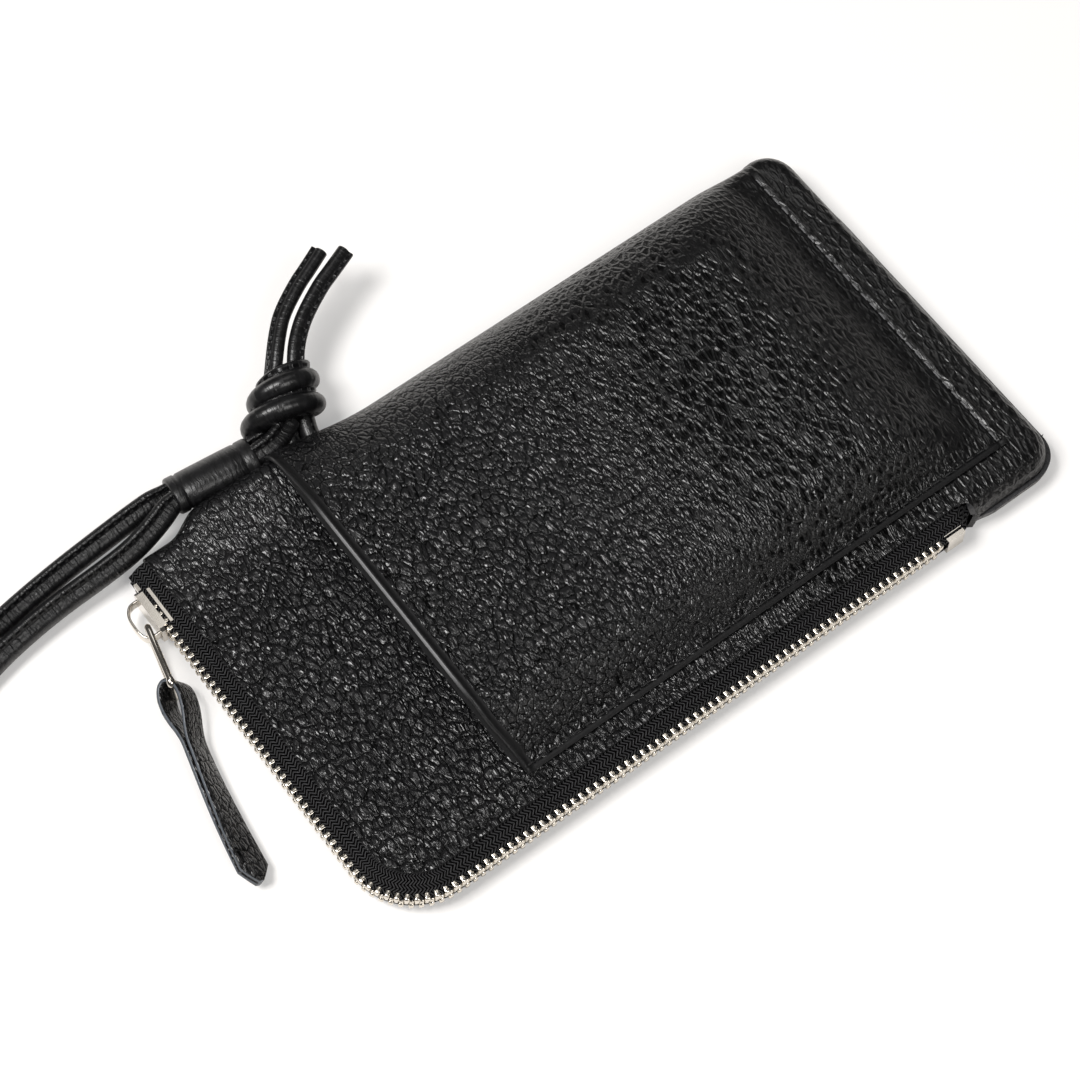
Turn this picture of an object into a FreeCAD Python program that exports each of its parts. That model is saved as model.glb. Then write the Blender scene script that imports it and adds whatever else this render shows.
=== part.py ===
"""Flat leather phone pouch with an L-shaped zip, an open phone pocket and a knotted cord strap.

Millimetres. The back lies on z = 0, +Z is up, +X runs along the pouch to its closed end, the zip is on
the -X and -Y edges and the fold is on the +Y edge. The origin is in the middle of the back face.
"""
import FreeCAD
import Part
import Sketcher
import math
import os

from FreeCAD import Placement, Rotation, Vector

DOC = FreeCAD.newDocument("PhonePouch")

# Driving sizes, each independent size named once
SIZES = {
    # Body of the pouch
    "pouch_length": 188.0,
    "pouch_width": 105.0,
    "pouch_height": 11.0,
    "leather_thick": 1.3,
    "lining_thick": 0.4,
    "lining_gap": 0.3,
    "lining_inset": 1.0,
    "zip_corner_radius": 15.5,
    "far_corner_radius": 8.0,
    "edge_roll": 3.0,
    "notch_radius": 3.2,
    "closed_run": 27.5,
    "seam_inset": 0.4,
    # Phone pocket
    "mouth_from_zip": 40.0,
    "pocket_end_inset": 9.0,
    "pocket_side_inset": 9.2,
    "pocket_margin": 3.3,
    "phone_gap": 8.5,
    "side_slope_run": 8.0,
    "fold_slope_run": 11.5,
    "end_slope_run": 13.0,
    "end_flange": 6.0,
    "dome_round": 14.0,
    "wrap_depth": 8.0,
    "pocket_lining_inset": 7.0,
    "mouth_facing": 12.0,
    # Zip
    "tape_thick": 0.5,
    "tape_show": 4.2,
    "tape_tuck": 6.0,
    "tape_edge": 1.2,
    "tape_end_gap": 0.7,
    "tooth_pitch": 2.12,
    "tooth_thick": 0.9,
    "tooth_half_depth": 1.1,
    "tooth_root": 2.3,
    "tooth_head": 0.75,
    "slot_clearance": 0.05,
    "top_stop_length": 2.0,
    "bottom_stop_length": 4.8,
    "bottom_stop_half_depth": 1.4,
    "bottom_stop_half_height": 2.7,
    "bottom_stop_from_notch": 2.9,
    # Slider
    "slider_from_fold": 12.5,
    "slider_length": 11.5,
    "slider_half_width": 3.3,
    "slider_plate": 1.1,
    "slider_clearance": 0.25,
    "slider_flange": 0.75,
    "tape_slot_half": 0.5,
    "post_start": 1.8,
    "post_length": 3.4,
    "post_half_width": 1.0,
    "crown_half_length": 5.2,
    "crown_height": 4.4,
    "crown_strap": 1.2,
    "crown_half_width": 1.6,
    # Zip pull
    "pivot_height": 1.75,
    "pivot_back": 2.4,
    "link_angle": 13.0,
    "link_thick": 1.4,
    "link_bar": 1.5,
    "link_reach": 16.2,
    "link_leg": 1.1,
    "link_shoulder": 4.6,
    "eye_length": 6.0,
    "eye_half": 1.95,
    "link_web": 1.6,
    "link_foot_half": 5.0,
    "tab_angle": 11.5,
    "tab_width": 7.2,
    "tab_layer": 1.5,
    "tab_length": 48.0,
    "tab_hole_half": 2.6,
    "tab_bar_clearance": 0.6,
    "tab_loop_run": 5.2,
    "tab_taper_run": 6.2,
    "tab_point": 3.0,
    # Strap
    "cord_diameter": 4.2,
    "cord_gap": 0.2,
    "sleeve_wall": 0.8,
    "sleeve_clearance": 0.15,
    "knot_core_radius": 4.0,
    "knot_gap": 0.4,
    "knot_turns": 2.0,
    "knot_pitch": 5.3,
    "anchor_spacing": 4.6,
    "anchor_length": 2.6,
    "anchor_height": 7.0,
    "coil_radius": 31.5,
    "coil_turns": 5.75,
    "coil_step": 5.1,
    "tie_thick": 1.0,
    "tie_clearance": 0.6,
    "tie_width": 6.0,
    # Thread
    "stitch_pitch": 3.2,
    "stitch_length": 2.3,
    "stitch_width": 0.6,
    "stitch_height": 0.35,
    "stitch_inset": 2.2,
    "side_stitch_inset": 1.7,
}

SHEET = DOC.addObject("Spreadsheet::Sheet", "Sizes")
for row, (alias, number) in enumerate(SIZES.items(), start=1):
    SHEET.set(f"A{row}", alias)
    SHEET.set(f"B{row}", str(number))
    SHEET.setAlias(f"B{row}", alias)
DOC.recompute()

# Places that follow from the sizes
X_ZIP = "(-Sizes.pouch_length / 2)"
X_END = "(Sizes.pouch_length / 2)"
Y_ZIP = "(-Sizes.pouch_width / 2)"
Y_FOLD = "(Sizes.pouch_width / 2)"
Z_TOP = "Sizes.pouch_height"
Z_MID = "(Sizes.pouch_height / 2)"
LEATHER = "Sizes.leather_thick"
X_LEATHER = f"({X_ZIP} + Sizes.tape_show)"
Y_LEATHER = f"({Y_ZIP} + Sizes.tape_show)"
X_NOTCH = f"({X_END} - Sizes.closed_run)"
Y_SEAM = f"({Y_ZIP} + Sizes.seam_inset)"
CORNER_CUT = f"(Sizes.far_corner_radius - {LEATHER})"
X_MOUTH = f"({X_ZIP} + Sizes.mouth_from_zip)"
X_POCKET_END = f"({X_END} - Sizes.pocket_end_inset)"
X_DOME_END = f"({X_POCKET_END} - Sizes.end_flange - Sizes.end_slope_run)"
Y_SIDE = f"({Y_ZIP} + Sizes.pocket_side_inset)"
Y_DOME = f"({Y_SIDE} + Sizes.pocket_margin)"
Z_SHELF = f"({Z_TOP} + {LEATHER})"
Z_DOME_IN = f"({Z_TOP} + Sizes.phone_gap)"
Z_DOME = f"({Z_DOME_IN} + {LEATHER})"
SLOPE_WALL = f"(1.2 * {LEATHER})"
Y_TAPE_START = f"({Y_FOLD} - {LEATHER} - Sizes.tape_end_gap)"
X_TAPE_END = f"({X_NOTCH} - Sizes.tape_end_gap)"
SLIDER_Y = f"({Y_FOLD} - Sizes.slider_from_fold)"
PLATE_IN = "(Sizes.tooth_half_depth + Sizes.slider_clearance)"
PLATE_OUT = f"({PLATE_IN} + Sizes.slider_plate)"


def value(expression):
    """Give the number that an expression of sheet sizes stands for."""
    return float(SHEET.evalExpression(str(expression)))


def size(alias):
    """Give one size from the sheet."""
    return float(SHEET.get(alias))


def close_to(first, second):
    """Say whether two places agree to a thousandth of a millimetre."""
    return abs(first - second) < 1e-3


def origin_plane(body, role):
    """Find one of a body's own base planes."""
    for feature in body.Origin.OriginFeatures:
        if feature.Role == role:
            return feature
    raise ValueError(role)


def new_body(name):
    """Start a sub-part's body."""
    body = DOC.addObject("PartDesign::Body", name)
    body.Label = name
    return body


def place_sketch(sketch, body, plane, height):
    """Lay a sketch on a base plane, at a height along its normal given as an expression."""
    sketch.AttachmentSupport = [(origin_plane(body, plane), "")]
    sketch.MapMode = "FlatFace"
    sketch.setExpression("AttachmentOffset.Base.z", height)


def add_polygon(sketch, corners):
    """Draw a closed outline whose corners are held at expressions."""
    first = sketch.GeometryCount
    points = [Vector(value(across), value(along), 0) for across, along in corners]
    count = len(points)
    for index, point in enumerate(points):
        sketch.addGeometry(Part.LineSegment(point, points[(index + 1) % count]))
    for index in range(count):
        following = first + (index + 1) % count
        sketch.addConstraint(Sketcher.Constraint("Coincident", first + index, 2, following, 1))
    for index, (across, along) in enumerate(corners):
        for kind, expression in (("DistanceX", across), ("DistanceY", along)):
            rule = Sketcher.Constraint(kind, -1, 1, first + index, 1, value(expression))
            number = sketch.addConstraint(rule)
            sketch.setExpression(f"Constraints[{number}]", expression)


def polygon_sketch(body, name, plane, height, *outlines):
    """Make a sketch of one outline and any windows in it."""
    sketch = body.newObject("Sketcher::SketchObject", name)
    place_sketch(sketch, body, plane, height)
    for outline in outlines:
        add_polygon(sketch, outline)
    return sketch


def pad(body, name, plane, height, length, *outlines, backwards=False):
    """Raise an outline into a solid."""
    feature = body.newObject("PartDesign::Pad", name)
    feature.Profile = polygon_sketch(body, name + "_sketch", plane, height, *outlines)
    feature.setExpression("Length", length)
    feature.Reversed = backwards
    DOC.recompute()
    return feature


def pocket(body, name, plane, height, length, *outlines, backwards=False):
    """Cut an outline out of the body, and see that it took something away."""
    before = body.Shape.Volume
    feature = body.newObject("PartDesign::Pocket", name)
    feature.Profile = polygon_sketch(body, name + "_sketch", plane, height, *outlines)
    feature.setExpression("Length", length)
    feature.Reversed = backwards
    DOC.recompute()
    if body.Shape.Volume > before - 1e-3:
        raise ValueError(f"{name} cuts nothing")
    return feature


def round_edges(body, base, name, radius, *tests):
    """Fillet the edges whose two ends both pass one of the tests."""
    names = []
    for index, edge in enumerate(base.Shape.Edges, start=1):
        ends = [vertex.Point for vertex in edge.Vertexes]
        if any(all(test(end) for end in ends) for test in tests):
            names.append(f"Edge{index}")
    if not names:
        raise ValueError(f"{name} finds no edge")
    feature = body.newObject("PartDesign::Fillet", name)
    feature.Base = (base, names)
    feature.setExpression("Radius", radius)
    DOC.recompute()
    return feature


def upright_at(across, along):
    """Test for the ends of an upright edge at a corner."""
    place_x, place_y = value(across), value(along)
    return lambda end: close_to(end.x, place_x) and close_to(end.y, place_y)


def bound_box(name, start, lengths):
    """Make a box whose corner and lengths are expressions."""
    box = DOC.addObject("Part::Box", name)
    for axis, expression in zip("xyz", start):
        box.setExpression(f"Placement.Base.{axis}", expression)
    for edge, expression in zip(("Length", "Width", "Height"), lengths):
        box.setExpression(edge, expression)
    return box


def feature_from(name, shape):
    """Keep a shape made in code as a sub-part."""
    feature = DOC.addObject("Part::Feature", name)
    feature.Label = name
    feature.Shape = shape
    return feature


# Leather panels: two trays that meet half way up, open along the zip
PANEL_OUTLINE = (
    (X_LEATHER, Y_FOLD),
    (X_LEATHER, Y_LEATHER),
    (X_NOTCH, Y_LEATHER),
    (X_NOTCH, Y_SEAM),
    (X_END, Y_SEAM),
    (X_END, Y_FOLD),
)
HOLLOW_OUTLINE = (
    (f"{X_ZIP} - {LEATHER}", f"{Y_FOLD} - {LEATHER}"),
    (f"{X_ZIP} - {LEATHER}", f"{Y_ZIP} - {LEATHER}"),
    (f"{X_NOTCH} + {LEATHER}", f"{Y_ZIP} - {LEATHER}"),
    (f"{X_NOTCH} + {LEATHER}", f"{Y_SEAM} + {LEATHER}"),
    (f"{X_END} - {LEATHER} - {CORNER_CUT}", f"{Y_SEAM} + {LEATHER}"),
    (f"{X_END} - {LEATHER}", f"{Y_SEAM} + {LEATHER} + {CORNER_CUT}"),
    (f"{X_END} - {LEATHER}", f"{Y_FOLD} - {LEATHER} - {CORNER_CUT}"),
    (f"{X_END} - {LEATHER} - {CORNER_CUT}", f"{Y_FOLD} - {LEATHER}"),
)


def leather_panel(name, is_front):
    """Make the front or the back tray."""
    body = new_body(name)
    base = pad(body, name + "_block", "XY_Plane", Z_MID, Z_MID, PANEL_OUTLINE, backwards=not is_front)
    base = round_edges(body, base, name + "_zip_corner", "Sizes.zip_corner_radius - Sizes.tape_show",
                       upright_at(X_LEATHER, Y_LEATHER))
    base = round_edges(body, base, name + "_notch", "Sizes.notch_radius", upright_at(X_NOTCH, Y_LEATHER))
    base = round_edges(body, base, name + "_far_corners", "Sizes.far_corner_radius",
                       upright_at(X_END, Y_SEAM), upright_at(X_END, Y_FOLD))
    outside = value(Z_TOP) if is_front else 0.0
    fold = value(Y_FOLD)
    round_edges(body, base, name + "_roll", "Sizes.edge_roll",
                lambda end: close_to(end.z, outside) and close_to(end.y, fold))
    pocket(body, name + "_hollow", "XY_Plane", Z_MID, f"{Z_MID} - {LEATHER}", HOLLOW_OUTLINE,
           backwards=is_front)
    return body


front_panel = leather_panel("front_panel", True)
back_panel = leather_panel("back_panel", False)

# Linings of the zipped room, sewn on a tape's thickness inside the leather
LINING_EDGE = f"({LEATHER} + Sizes.lining_gap)"
LINING_OUTLINE = (
    (f"{X_LEATHER} + Sizes.lining_inset", f"{Y_FOLD} - {LINING_EDGE}"),
    (f"{X_LEATHER} + Sizes.lining_inset", f"{Y_LEATHER} + Sizes.lining_inset"),
    (f"{X_END} - {LINING_EDGE} - Sizes.far_corner_radius", f"{Y_LEATHER} + Sizes.lining_inset"),
    (f"{X_END} - {LINING_EDGE}", f"{Y_LEATHER} + Sizes.lining_inset + Sizes.far_corner_radius"),
    (f"{X_END} - {LINING_EDGE}", f"{Y_FOLD} - {LINING_EDGE} - Sizes.far_corner_radius"),
    (f"{X_END} - {LINING_EDGE} - Sizes.far_corner_radius", f"{Y_FOLD} - {LINING_EDGE}"),
)


def lining_sheet(name, height):
    """Make one lining sheet with its underside at a height."""
    body = new_body(name)
    base = pad(body, name + "_sheet", "XY_Plane", height, "Sizes.lining_thick", LINING_OUTLINE)
    round_edges(body, base, name + "_corner",
                "Sizes.zip_corner_radius - Sizes.tape_show - Sizes.lining_inset",
                upright_at(*LINING_OUTLINE[1]))
    return body


front_lining = lining_sheet("front_lining", f"{Z_TOP} - {LEATHER} - Sizes.tape_thick - Sizes.lining_thick")
back_lining = lining_sheet("back_lining", f"{LEATHER} + Sizes.tape_thick")

# Phone pocket: a domed panel, open at its mouth and wrapped over the fold
POCKET_SECTION = (
    (Y_SIDE, Z_TOP),
    (Y_SIDE, Z_SHELF),
    (Y_DOME, Z_SHELF),
    (f"{Y_DOME} + Sizes.side_slope_run", Z_DOME),
    (f"{Y_FOLD} - Sizes.fold_slope_run", Z_DOME),
    (f"{Y_FOLD} + {LEATHER}", Z_TOP),
    (f"{Y_FOLD} + {LEATHER}", f"{Z_TOP} - Sizes.wrap_depth"),
    (Y_FOLD, f"{Z_TOP} - Sizes.wrap_depth"),
    (Y_FOLD, Z_TOP),
)
POCKET_ROOM = (
    (f"{Y_DOME} + {SLOPE_WALL}", Z_TOP),
    (f"{Y_DOME} + {SLOPE_WALL} + Sizes.side_slope_run", Z_DOME_IN),
    (f"{Y_FOLD} - Sizes.fold_slope_run - 0.4 * {LEATHER}", Z_DOME_IN),
    (f"{Y_FOLD} - 0.5 * {LEATHER}", Z_TOP),
)


def end_slope(inset):
    """Outline of what lies above the pocket's sloping closed end."""
    shelf = Z_SHELF if inset == "0" else Z_TOP
    crown = Z_DOME if inset == "0" else Z_DOME_IN
    return (
        (f"{X_DOME_END} - {inset}", crown),
        (f"{X_DOME_END} + Sizes.end_slope_run - {inset}", shelf),
        (f"{X_END}", shelf),
        (f"{X_END}", f"{Z_DOME} + {LEATHER}"),
        (f"{X_DOME_END} - {inset}", f"{Z_DOME} + {LEATHER}"),
    )


def level_line(axis, place, height):
    """Test for the ends of a level edge at a place on one axis."""
    spot, level = value(place), value(height)
    return lambda end: close_to(getattr(end, axis), spot) and close_to(end.z, level)


def domed_block(name, start, section, inset, crown, radius):
    """Run a section along the pocket, slope its closed end and round its shoulders."""
    body = new_body(name)
    pad(body, name + "_run", "YZ_Plane", start, f"{X_POCKET_END} - {start}", section)
    sloped = pocket(body, name + "_end", "XZ_Plane", "Sizes.pouch_width", "2 * Sizes.pouch_width",
                    end_slope(inset))
    shoulders = [level_line("y", along, crown) for along, height in section if height == crown]
    shoulders.append(level_line("x", f"{X_DOME_END} - {inset}", crown))
    round_edges(body, sloped, name + "_shoulder", radius, *shoulders)
    return body


pocket_outside = domed_block("pocket_outside", X_MOUTH, POCKET_SECTION, "0", Z_DOME, "Sizes.dome_round")
pocket_inside = domed_block("pocket_inside", f"({X_MOUTH} - {LEATHER})", POCKET_ROOM, SLOPE_WALL, Z_DOME_IN,
                            f"Sizes.dome_round - {LEATHER}")
phone_pocket = DOC.addObject("Part::Cut", "phone_pocket")
phone_pocket.Label = "phone_pocket"
phone_pocket.Base = pocket_outside
phone_pocket.Tool = pocket_inside

# The pocket's lining hangs under the flat of the dome, behind a leather facing at the mouth
INSET = "Sizes.pocket_lining_inset"
LINING_Y = f"({Y_DOME} + {SLOPE_WALL} + Sizes.side_slope_run + {INSET})"
pocket_lining = bound_box(
    "pocket_lining",
    (f"{X_MOUTH} + Sizes.mouth_facing", LINING_Y, f"{Z_DOME_IN} - Sizes.lining_thick"),
    (f"{X_DOME_END} - {SLOPE_WALL} - {INSET} - {X_MOUTH} - Sizes.mouth_facing",
     f"{Y_FOLD} - Sizes.fold_slope_run - {LEATHER} - {INSET} - {LINING_Y}", "Sizes.lining_thick"))

# Zip tapes: an L section swept along the short edge, the corner and the long edge


def zip_tape(name, is_front):
    """Make one tape, its flat leg tucked in beside the leather and its standing leg at the teeth."""
    body = new_body(name)
    path = body.newObject("Sketcher::SketchObject", name + "_path")
    place_sketch(path, body, "XY_Plane", "0")
    radius = size("zip_corner_radius")
    west, south = value(X_ZIP), value(Y_ZIP)
    start = Vector(west, value(Y_TAPE_START), 0)
    turn_in = Vector(west, south + radius, 0)
    turn_out = Vector(west + radius, south, 0)
    finish = Vector(value(X_TAPE_END), south, 0)
    centre = Vector(west + radius, south + radius, 0)
    path.addGeometry(Part.LineSegment(start, turn_in))
    round_corner = Part.Circle(centre, Vector(0, 0, 1), radius)
    path.addGeometry(Part.ArcOfCircle(round_corner, math.pi, 1.5 * math.pi))
    path.addGeometry(Part.LineSegment(turn_out, finish))
    path.addConstraint(Sketcher.Constraint("Tangent", 0, 2, 1, 1))
    path.addConstraint(Sketcher.Constraint("Tangent", 1, 2, 2, 1))
    path.addConstraint(Sketcher.Constraint("Vertical", 0))
    path.addConstraint(Sketcher.Constraint("Horizontal", 2))
    held = (("DistanceX", 0, 1, X_ZIP), ("DistanceY", 0, 1, Y_TAPE_START),
            ("DistanceX", 2, 2, X_TAPE_END), ("DistanceY", 2, 2, Y_ZIP))
    for kind, line, end, expression in held:
        number = path.addConstraint(Sketcher.Constraint(kind, -1, 1, line, end, value(expression)))
        path.setExpression(f"Constraints[{number}]", expression)
    number = path.addConstraint(Sketcher.Constraint("Radius", 1, radius))
    path.setExpression(f"Constraints[{number}]", "Sizes.zip_corner_radius")
    side = "+" if is_front else "-"
    half = "Sizes.tape_thick / 2"
    reach = f"({Z_MID} - {LEATHER})"
    tuck = f"{X_ZIP} + Sizes.tape_show + Sizes.tape_tuck"
    section = (
        (f"{X_ZIP} - {half}", f"{Z_MID} {side} Sizes.tape_edge"),
        (f"{X_ZIP} + {half}", f"{Z_MID} {side} Sizes.tape_edge"),
        (f"{X_ZIP} + {half}", f"{Z_MID} {side} ({reach} - Sizes.tape_thick)"),
        (tuck, f"{Z_MID} {side} ({reach} - Sizes.tape_thick)"),
        (tuck, f"{Z_MID} {side} {reach}"),
        (f"{X_ZIP} - {half}", f"{Z_MID} {side} {reach}"),
    )
    profile = polygon_sketch(body, name + "_section", "XZ_Plane", f"-{Y_TAPE_START}", section)
    DOC.recompute()
    pipe = body.newObject("PartDesign::AdditivePipe", name + "_run")
    pipe.Profile = profile
    pipe.Spine = path
    DOC.recompute()
    return body


zip_tape_front = zip_tape("zip_tape_front", True)
zip_tape_back = zip_tape("zip_tape_back", False)


def l_path(distance, start_y, inset):
    """Place and heading at a distance along the zip's L, which may lie inside the tooth line.

    Gives the place on z = 0 and the heading as an angle in degrees.
    """
    radius = size("zip_corner_radius") - inset
    west = value(X_ZIP) + inset
    south = value(Y_ZIP) + inset
    first_run = start_y - (south + radius)
    if distance <= first_run:
        return Vector(west, start_y - distance, 0), -90.0
    turned = (distance - first_run) / radius
    if turned <= math.pi / 2:
        place = Vector(west + radius - radius * math.cos(turned), south + radius - radius * math.sin(turned), 0)
        return place, -90.0 + math.degrees(turned)
    past = distance - first_run - radius * math.pi / 2
    return Vector(west + radius + past, south, 0), 0.0


def l_length(start_y, finish_x, inset):
    """Length of the L from a start on the short edge to an end on the long edge."""
    radius = size("zip_corner_radius") - inset
    first_run = start_y - (value(Y_ZIP) + inset + radius)
    return first_run + radius * math.pi / 2 + finish_x - (value(X_ZIP) + inset + radius)


def slotted_block(length, top, bottom):
    """Metal clipped on a tape's edge: along X, with its slot in its upper end."""
    depth = size("tooth_half_depth")
    slot = size("tape_thick") / 2 + size("slot_clearance")
    floor = size("tape_edge") - size("slot_clearance")
    corners = (
        (-depth, bottom), (depth, bottom), (depth, top), (slot, top),
        (slot, floor), (-slot, floor), (-slot, top), (-depth, top),
    )
    outline = Part.makePolygon([Vector(-length / 2, y, z) for y, z in corners + corners[:1]])
    return Part.Face(outline).extrude(Vector(length, 0, 0))


TOOTH_START_Y = value(SLIDER_Y) + size("post_start") - size("tooth_thick")
STOP_START_X = value(X_NOTCH) - size("bottom_stop_from_notch") - size("bottom_stop_length")


def tooth_row(shift, flip):
    """One row of teeth along the L, as a group of separate solids."""
    tooth = slotted_block(size("tooth_thick"), size("tooth_root"), -size("tooth_head"))
    pitch = size("tooth_pitch")
    whole = l_length(TOOTH_START_Y, STOP_START_X, 0.0) - pitch / 2
    count = int((whole - shift) / pitch)
    turn_over = Rotation(Vector(1, 0, 0), 180 if flip else 0)
    solids = []
    for index in range(count):
        place, heading = l_path(shift + index * pitch, TOOTH_START_Y, 0.0)
        place.z = value(Z_MID)
        solid = tooth.copy()
        solid.Placement = Placement(place, Rotation(Vector(0, 0, 1), heading).multiply(turn_over))
        solids.append(solid)
    print("teeth in a row", count)
    return Part.makeCompound(solids)


zip_teeth_front = feature_from("zip_teeth_front", tooth_row(0.0, False))
zip_teeth_back = feature_from("zip_teeth_back", tooth_row(size("tooth_pitch") / 2, True))

# Stops at the two ends of the zip
stop_y = value(SLIDER_Y) + size("slider_length") / 2 + size("slider_clearance") + size("top_stop_length") / 2
stop_block = slotted_block(size("top_stop_length"), size("tooth_root"), size("tape_edge") / 2)
top_stops = []
for over in (0, 180):
    stop = stop_block.copy()
    spin = Rotation(Vector(0, 0, 1), -90).multiply(Rotation(Vector(1, 0, 0), over))
    stop.Placement = Placement(Vector(value(X_ZIP), stop_y, value(Z_MID)), spin)
    top_stops.append(stop)
zip_top_stops = feature_from("zip_top_stops", Part.makeCompound(top_stops))

STOP_X = f"({X_NOTCH} - Sizes.bottom_stop_from_notch - Sizes.bottom_stop_length)"
SLOT_HALF = "(Sizes.tape_thick / 2 + Sizes.slot_clearance)"
SLOT_FLOOR = "(Sizes.tape_edge - Sizes.slot_clearance)"
stop_block = bound_box(
    "bottom_stop_block",
    (STOP_X, f"{Y_ZIP} - Sizes.bottom_stop_half_depth", f"{Z_MID} - Sizes.bottom_stop_half_height"),
    ("Sizes.bottom_stop_length", "2 * Sizes.bottom_stop_half_depth", "2 * Sizes.bottom_stop_half_height"))
SLOT_LENGTHS = (
    "3 * Sizes.bottom_stop_length", f"2 * {SLOT_HALF}", "Sizes.bottom_stop_half_height")
slot_front = bound_box(
    "bottom_stop_slot_front",
    (f"{STOP_X} - Sizes.bottom_stop_length", f"{Y_ZIP} - {SLOT_HALF}", f"{Z_MID} + {SLOT_FLOOR}"),
    SLOT_LENGTHS)
slot_back = bound_box(
    "bottom_stop_slot_back",
    (f"{STOP_X} - Sizes.bottom_stop_length", f"{Y_ZIP} - {SLOT_HALF}",
     f"{Z_MID} - {SLOT_FLOOR} - Sizes.bottom_stop_half_height"),
    SLOT_LENGTHS)
slots = DOC.addObject("Part::Fuse", "bottom_stop_slots")
slots.Base = slot_front
slots.Tool = slot_back
zip_bottom_stop = DOC.addObject("Part::Cut", "zip_bottom_stop")
zip_bottom_stop.Label = "zip_bottom_stop"
zip_bottom_stop.Base = stop_block
zip_bottom_stop.Tool = slots

# Slider: two plates on a post, with flanges that hold the tapes
HEAD = f"({SLIDER_Y} + Sizes.slider_length / 2)"
TAIL = f"({SLIDER_Y} - Sizes.slider_length / 2)"
HALF_WIDTH = "Sizes.slider_half_width"
CUT = "Sizes.slider_flange"
PLATE_OUTLINE = (
    (f"{TAIL} + {CUT}", f"{Z_MID} - {HALF_WIDTH}"),
    (f"{HEAD} - {CUT}", f"{Z_MID} - {HALF_WIDTH}"),
    (HEAD, f"{Z_MID} - {HALF_WIDTH} + {CUT}"),
    (HEAD, f"{Z_MID} + {HALF_WIDTH} - {CUT}"),
    (f"{HEAD} - {CUT}", f"{Z_MID} + {HALF_WIDTH}"),
    (f"{TAIL} + {CUT}", f"{Z_MID} + {HALF_WIDTH}"),
    (TAIL, f"{Z_MID} + {HALF_WIDTH} - {CUT}"),
    (TAIL, f"{Z_MID} - {HALF_WIDTH} + {CUT}"),
)
POST = f"({SLIDER_Y} + Sizes.post_start)"
POST_OUTLINE = (
    (POST, Z_MID),
    (f"{POST} + Sizes.post_length / 2", f"{Z_MID} - Sizes.post_half_width"),
    (f"{POST} + Sizes.post_length", f"{Z_MID} - Sizes.post_half_width"),
    (f"{POST} + Sizes.post_length", f"{Z_MID} + Sizes.post_half_width"),
    (f"{POST} + Sizes.post_length / 2", f"{Z_MID} + Sizes.post_half_width"),
)


def flange_outline(low, high):
    """Outline of one slider flange between two heights."""
    return (
        (f"{TAIL} + {CUT}", low),
        (f"{HEAD} - {CUT}", low),
        (f"{HEAD} - {CUT}", high),
        (f"{TAIL} + {CUT}", high),
    )


UPPER_FLANGE = flange_outline(f"{Z_MID} + {HALF_WIDTH} - {CUT}", f"{Z_MID} + {HALF_WIDTH}")
LOWER_FLANGE = flange_outline(f"{Z_MID} - {HALF_WIDTH}", f"{Z_MID} - {HALF_WIDTH} + {CUT}")
slider_body = new_body("slider_body")
pad(slider_body, "slider_outer", "YZ_Plane", f"{X_ZIP} - {PLATE_OUT}", "Sizes.slider_plate", PLATE_OUTLINE)
pad(slider_body, "slider_post", "YZ_Plane", f"{X_ZIP} - {PLATE_IN}", f"2 * {PLATE_IN}", POST_OUTLINE)
pad(slider_body, "slider_inner", "YZ_Plane", f"{X_ZIP} + {PLATE_IN}", "Sizes.slider_plate", PLATE_OUTLINE)
FLANGE_DEEP = f"{PLATE_IN} - Sizes.tape_slot_half"
for edge_name, edge_outline in (("upper", UPPER_FLANGE), ("lower", LOWER_FLANGE)):
    pad(slider_body, f"slider_{edge_name}_out", "YZ_Plane", f"{X_ZIP} - {PLATE_IN}", FLANGE_DEEP, edge_outline)
    pad(slider_body, f"slider_{edge_name}_in", "YZ_Plane", f"{X_ZIP} + Sizes.tape_slot_half", FLANGE_DEEP,
        edge_outline)

# Crown: the arch on the slider that the pull swings in
FOOT = f"({X_ZIP} - {PLATE_OUT})"
STRAP = "Sizes.crown_strap"
CROWN = "Sizes.crown_half_length"
RISE = "Sizes.crown_height"
CROWN_OUTLINE = (
    (FOOT, f"{SLIDER_Y} - {CROWN}"),
    (f"{FOOT} - 0.6 * {RISE}", f"{SLIDER_Y} - {CROWN}"),
    (f"{FOOT} - {RISE}", f"{SLIDER_Y} - 0.65 * {CROWN}"),
    (f"{FOOT} - {RISE}", f"{SLIDER_Y} + 0.65 * {CROWN}"),
    (f"{FOOT} - 0.6 * {RISE}", f"{SLIDER_Y} + {CROWN}"),
    (FOOT, f"{SLIDER_Y} + {CROWN}"),
    (FOOT, f"{SLIDER_Y} + {CROWN} - {STRAP}"),
    (f"{FOOT} - 0.6 * {RISE} + {STRAP} / 3", f"{SLIDER_Y} + {CROWN} - {STRAP}"),
    (f"{FOOT} - {RISE} + {STRAP}", f"{SLIDER_Y} + 0.65 * {CROWN} - {STRAP} / 3"),
    (f"{FOOT} - {RISE} + {STRAP}", f"{SLIDER_Y} - 0.65 * {CROWN} + {STRAP} / 3"),
    (f"{FOOT} - 0.6 * {RISE} + {STRAP} / 3", f"{SLIDER_Y} - {CROWN} + {STRAP}"),
    (FOOT, f"{SLIDER_Y} - {CROWN} + {STRAP}"),
)
slider_crown = new_body("slider_crown")
pad(slider_crown, "crown_arch", "XY_Plane", f"{Z_MID} - Sizes.crown_half_width", "2 * Sizes.crown_half_width",
    CROWN_OUTLINE)

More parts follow.
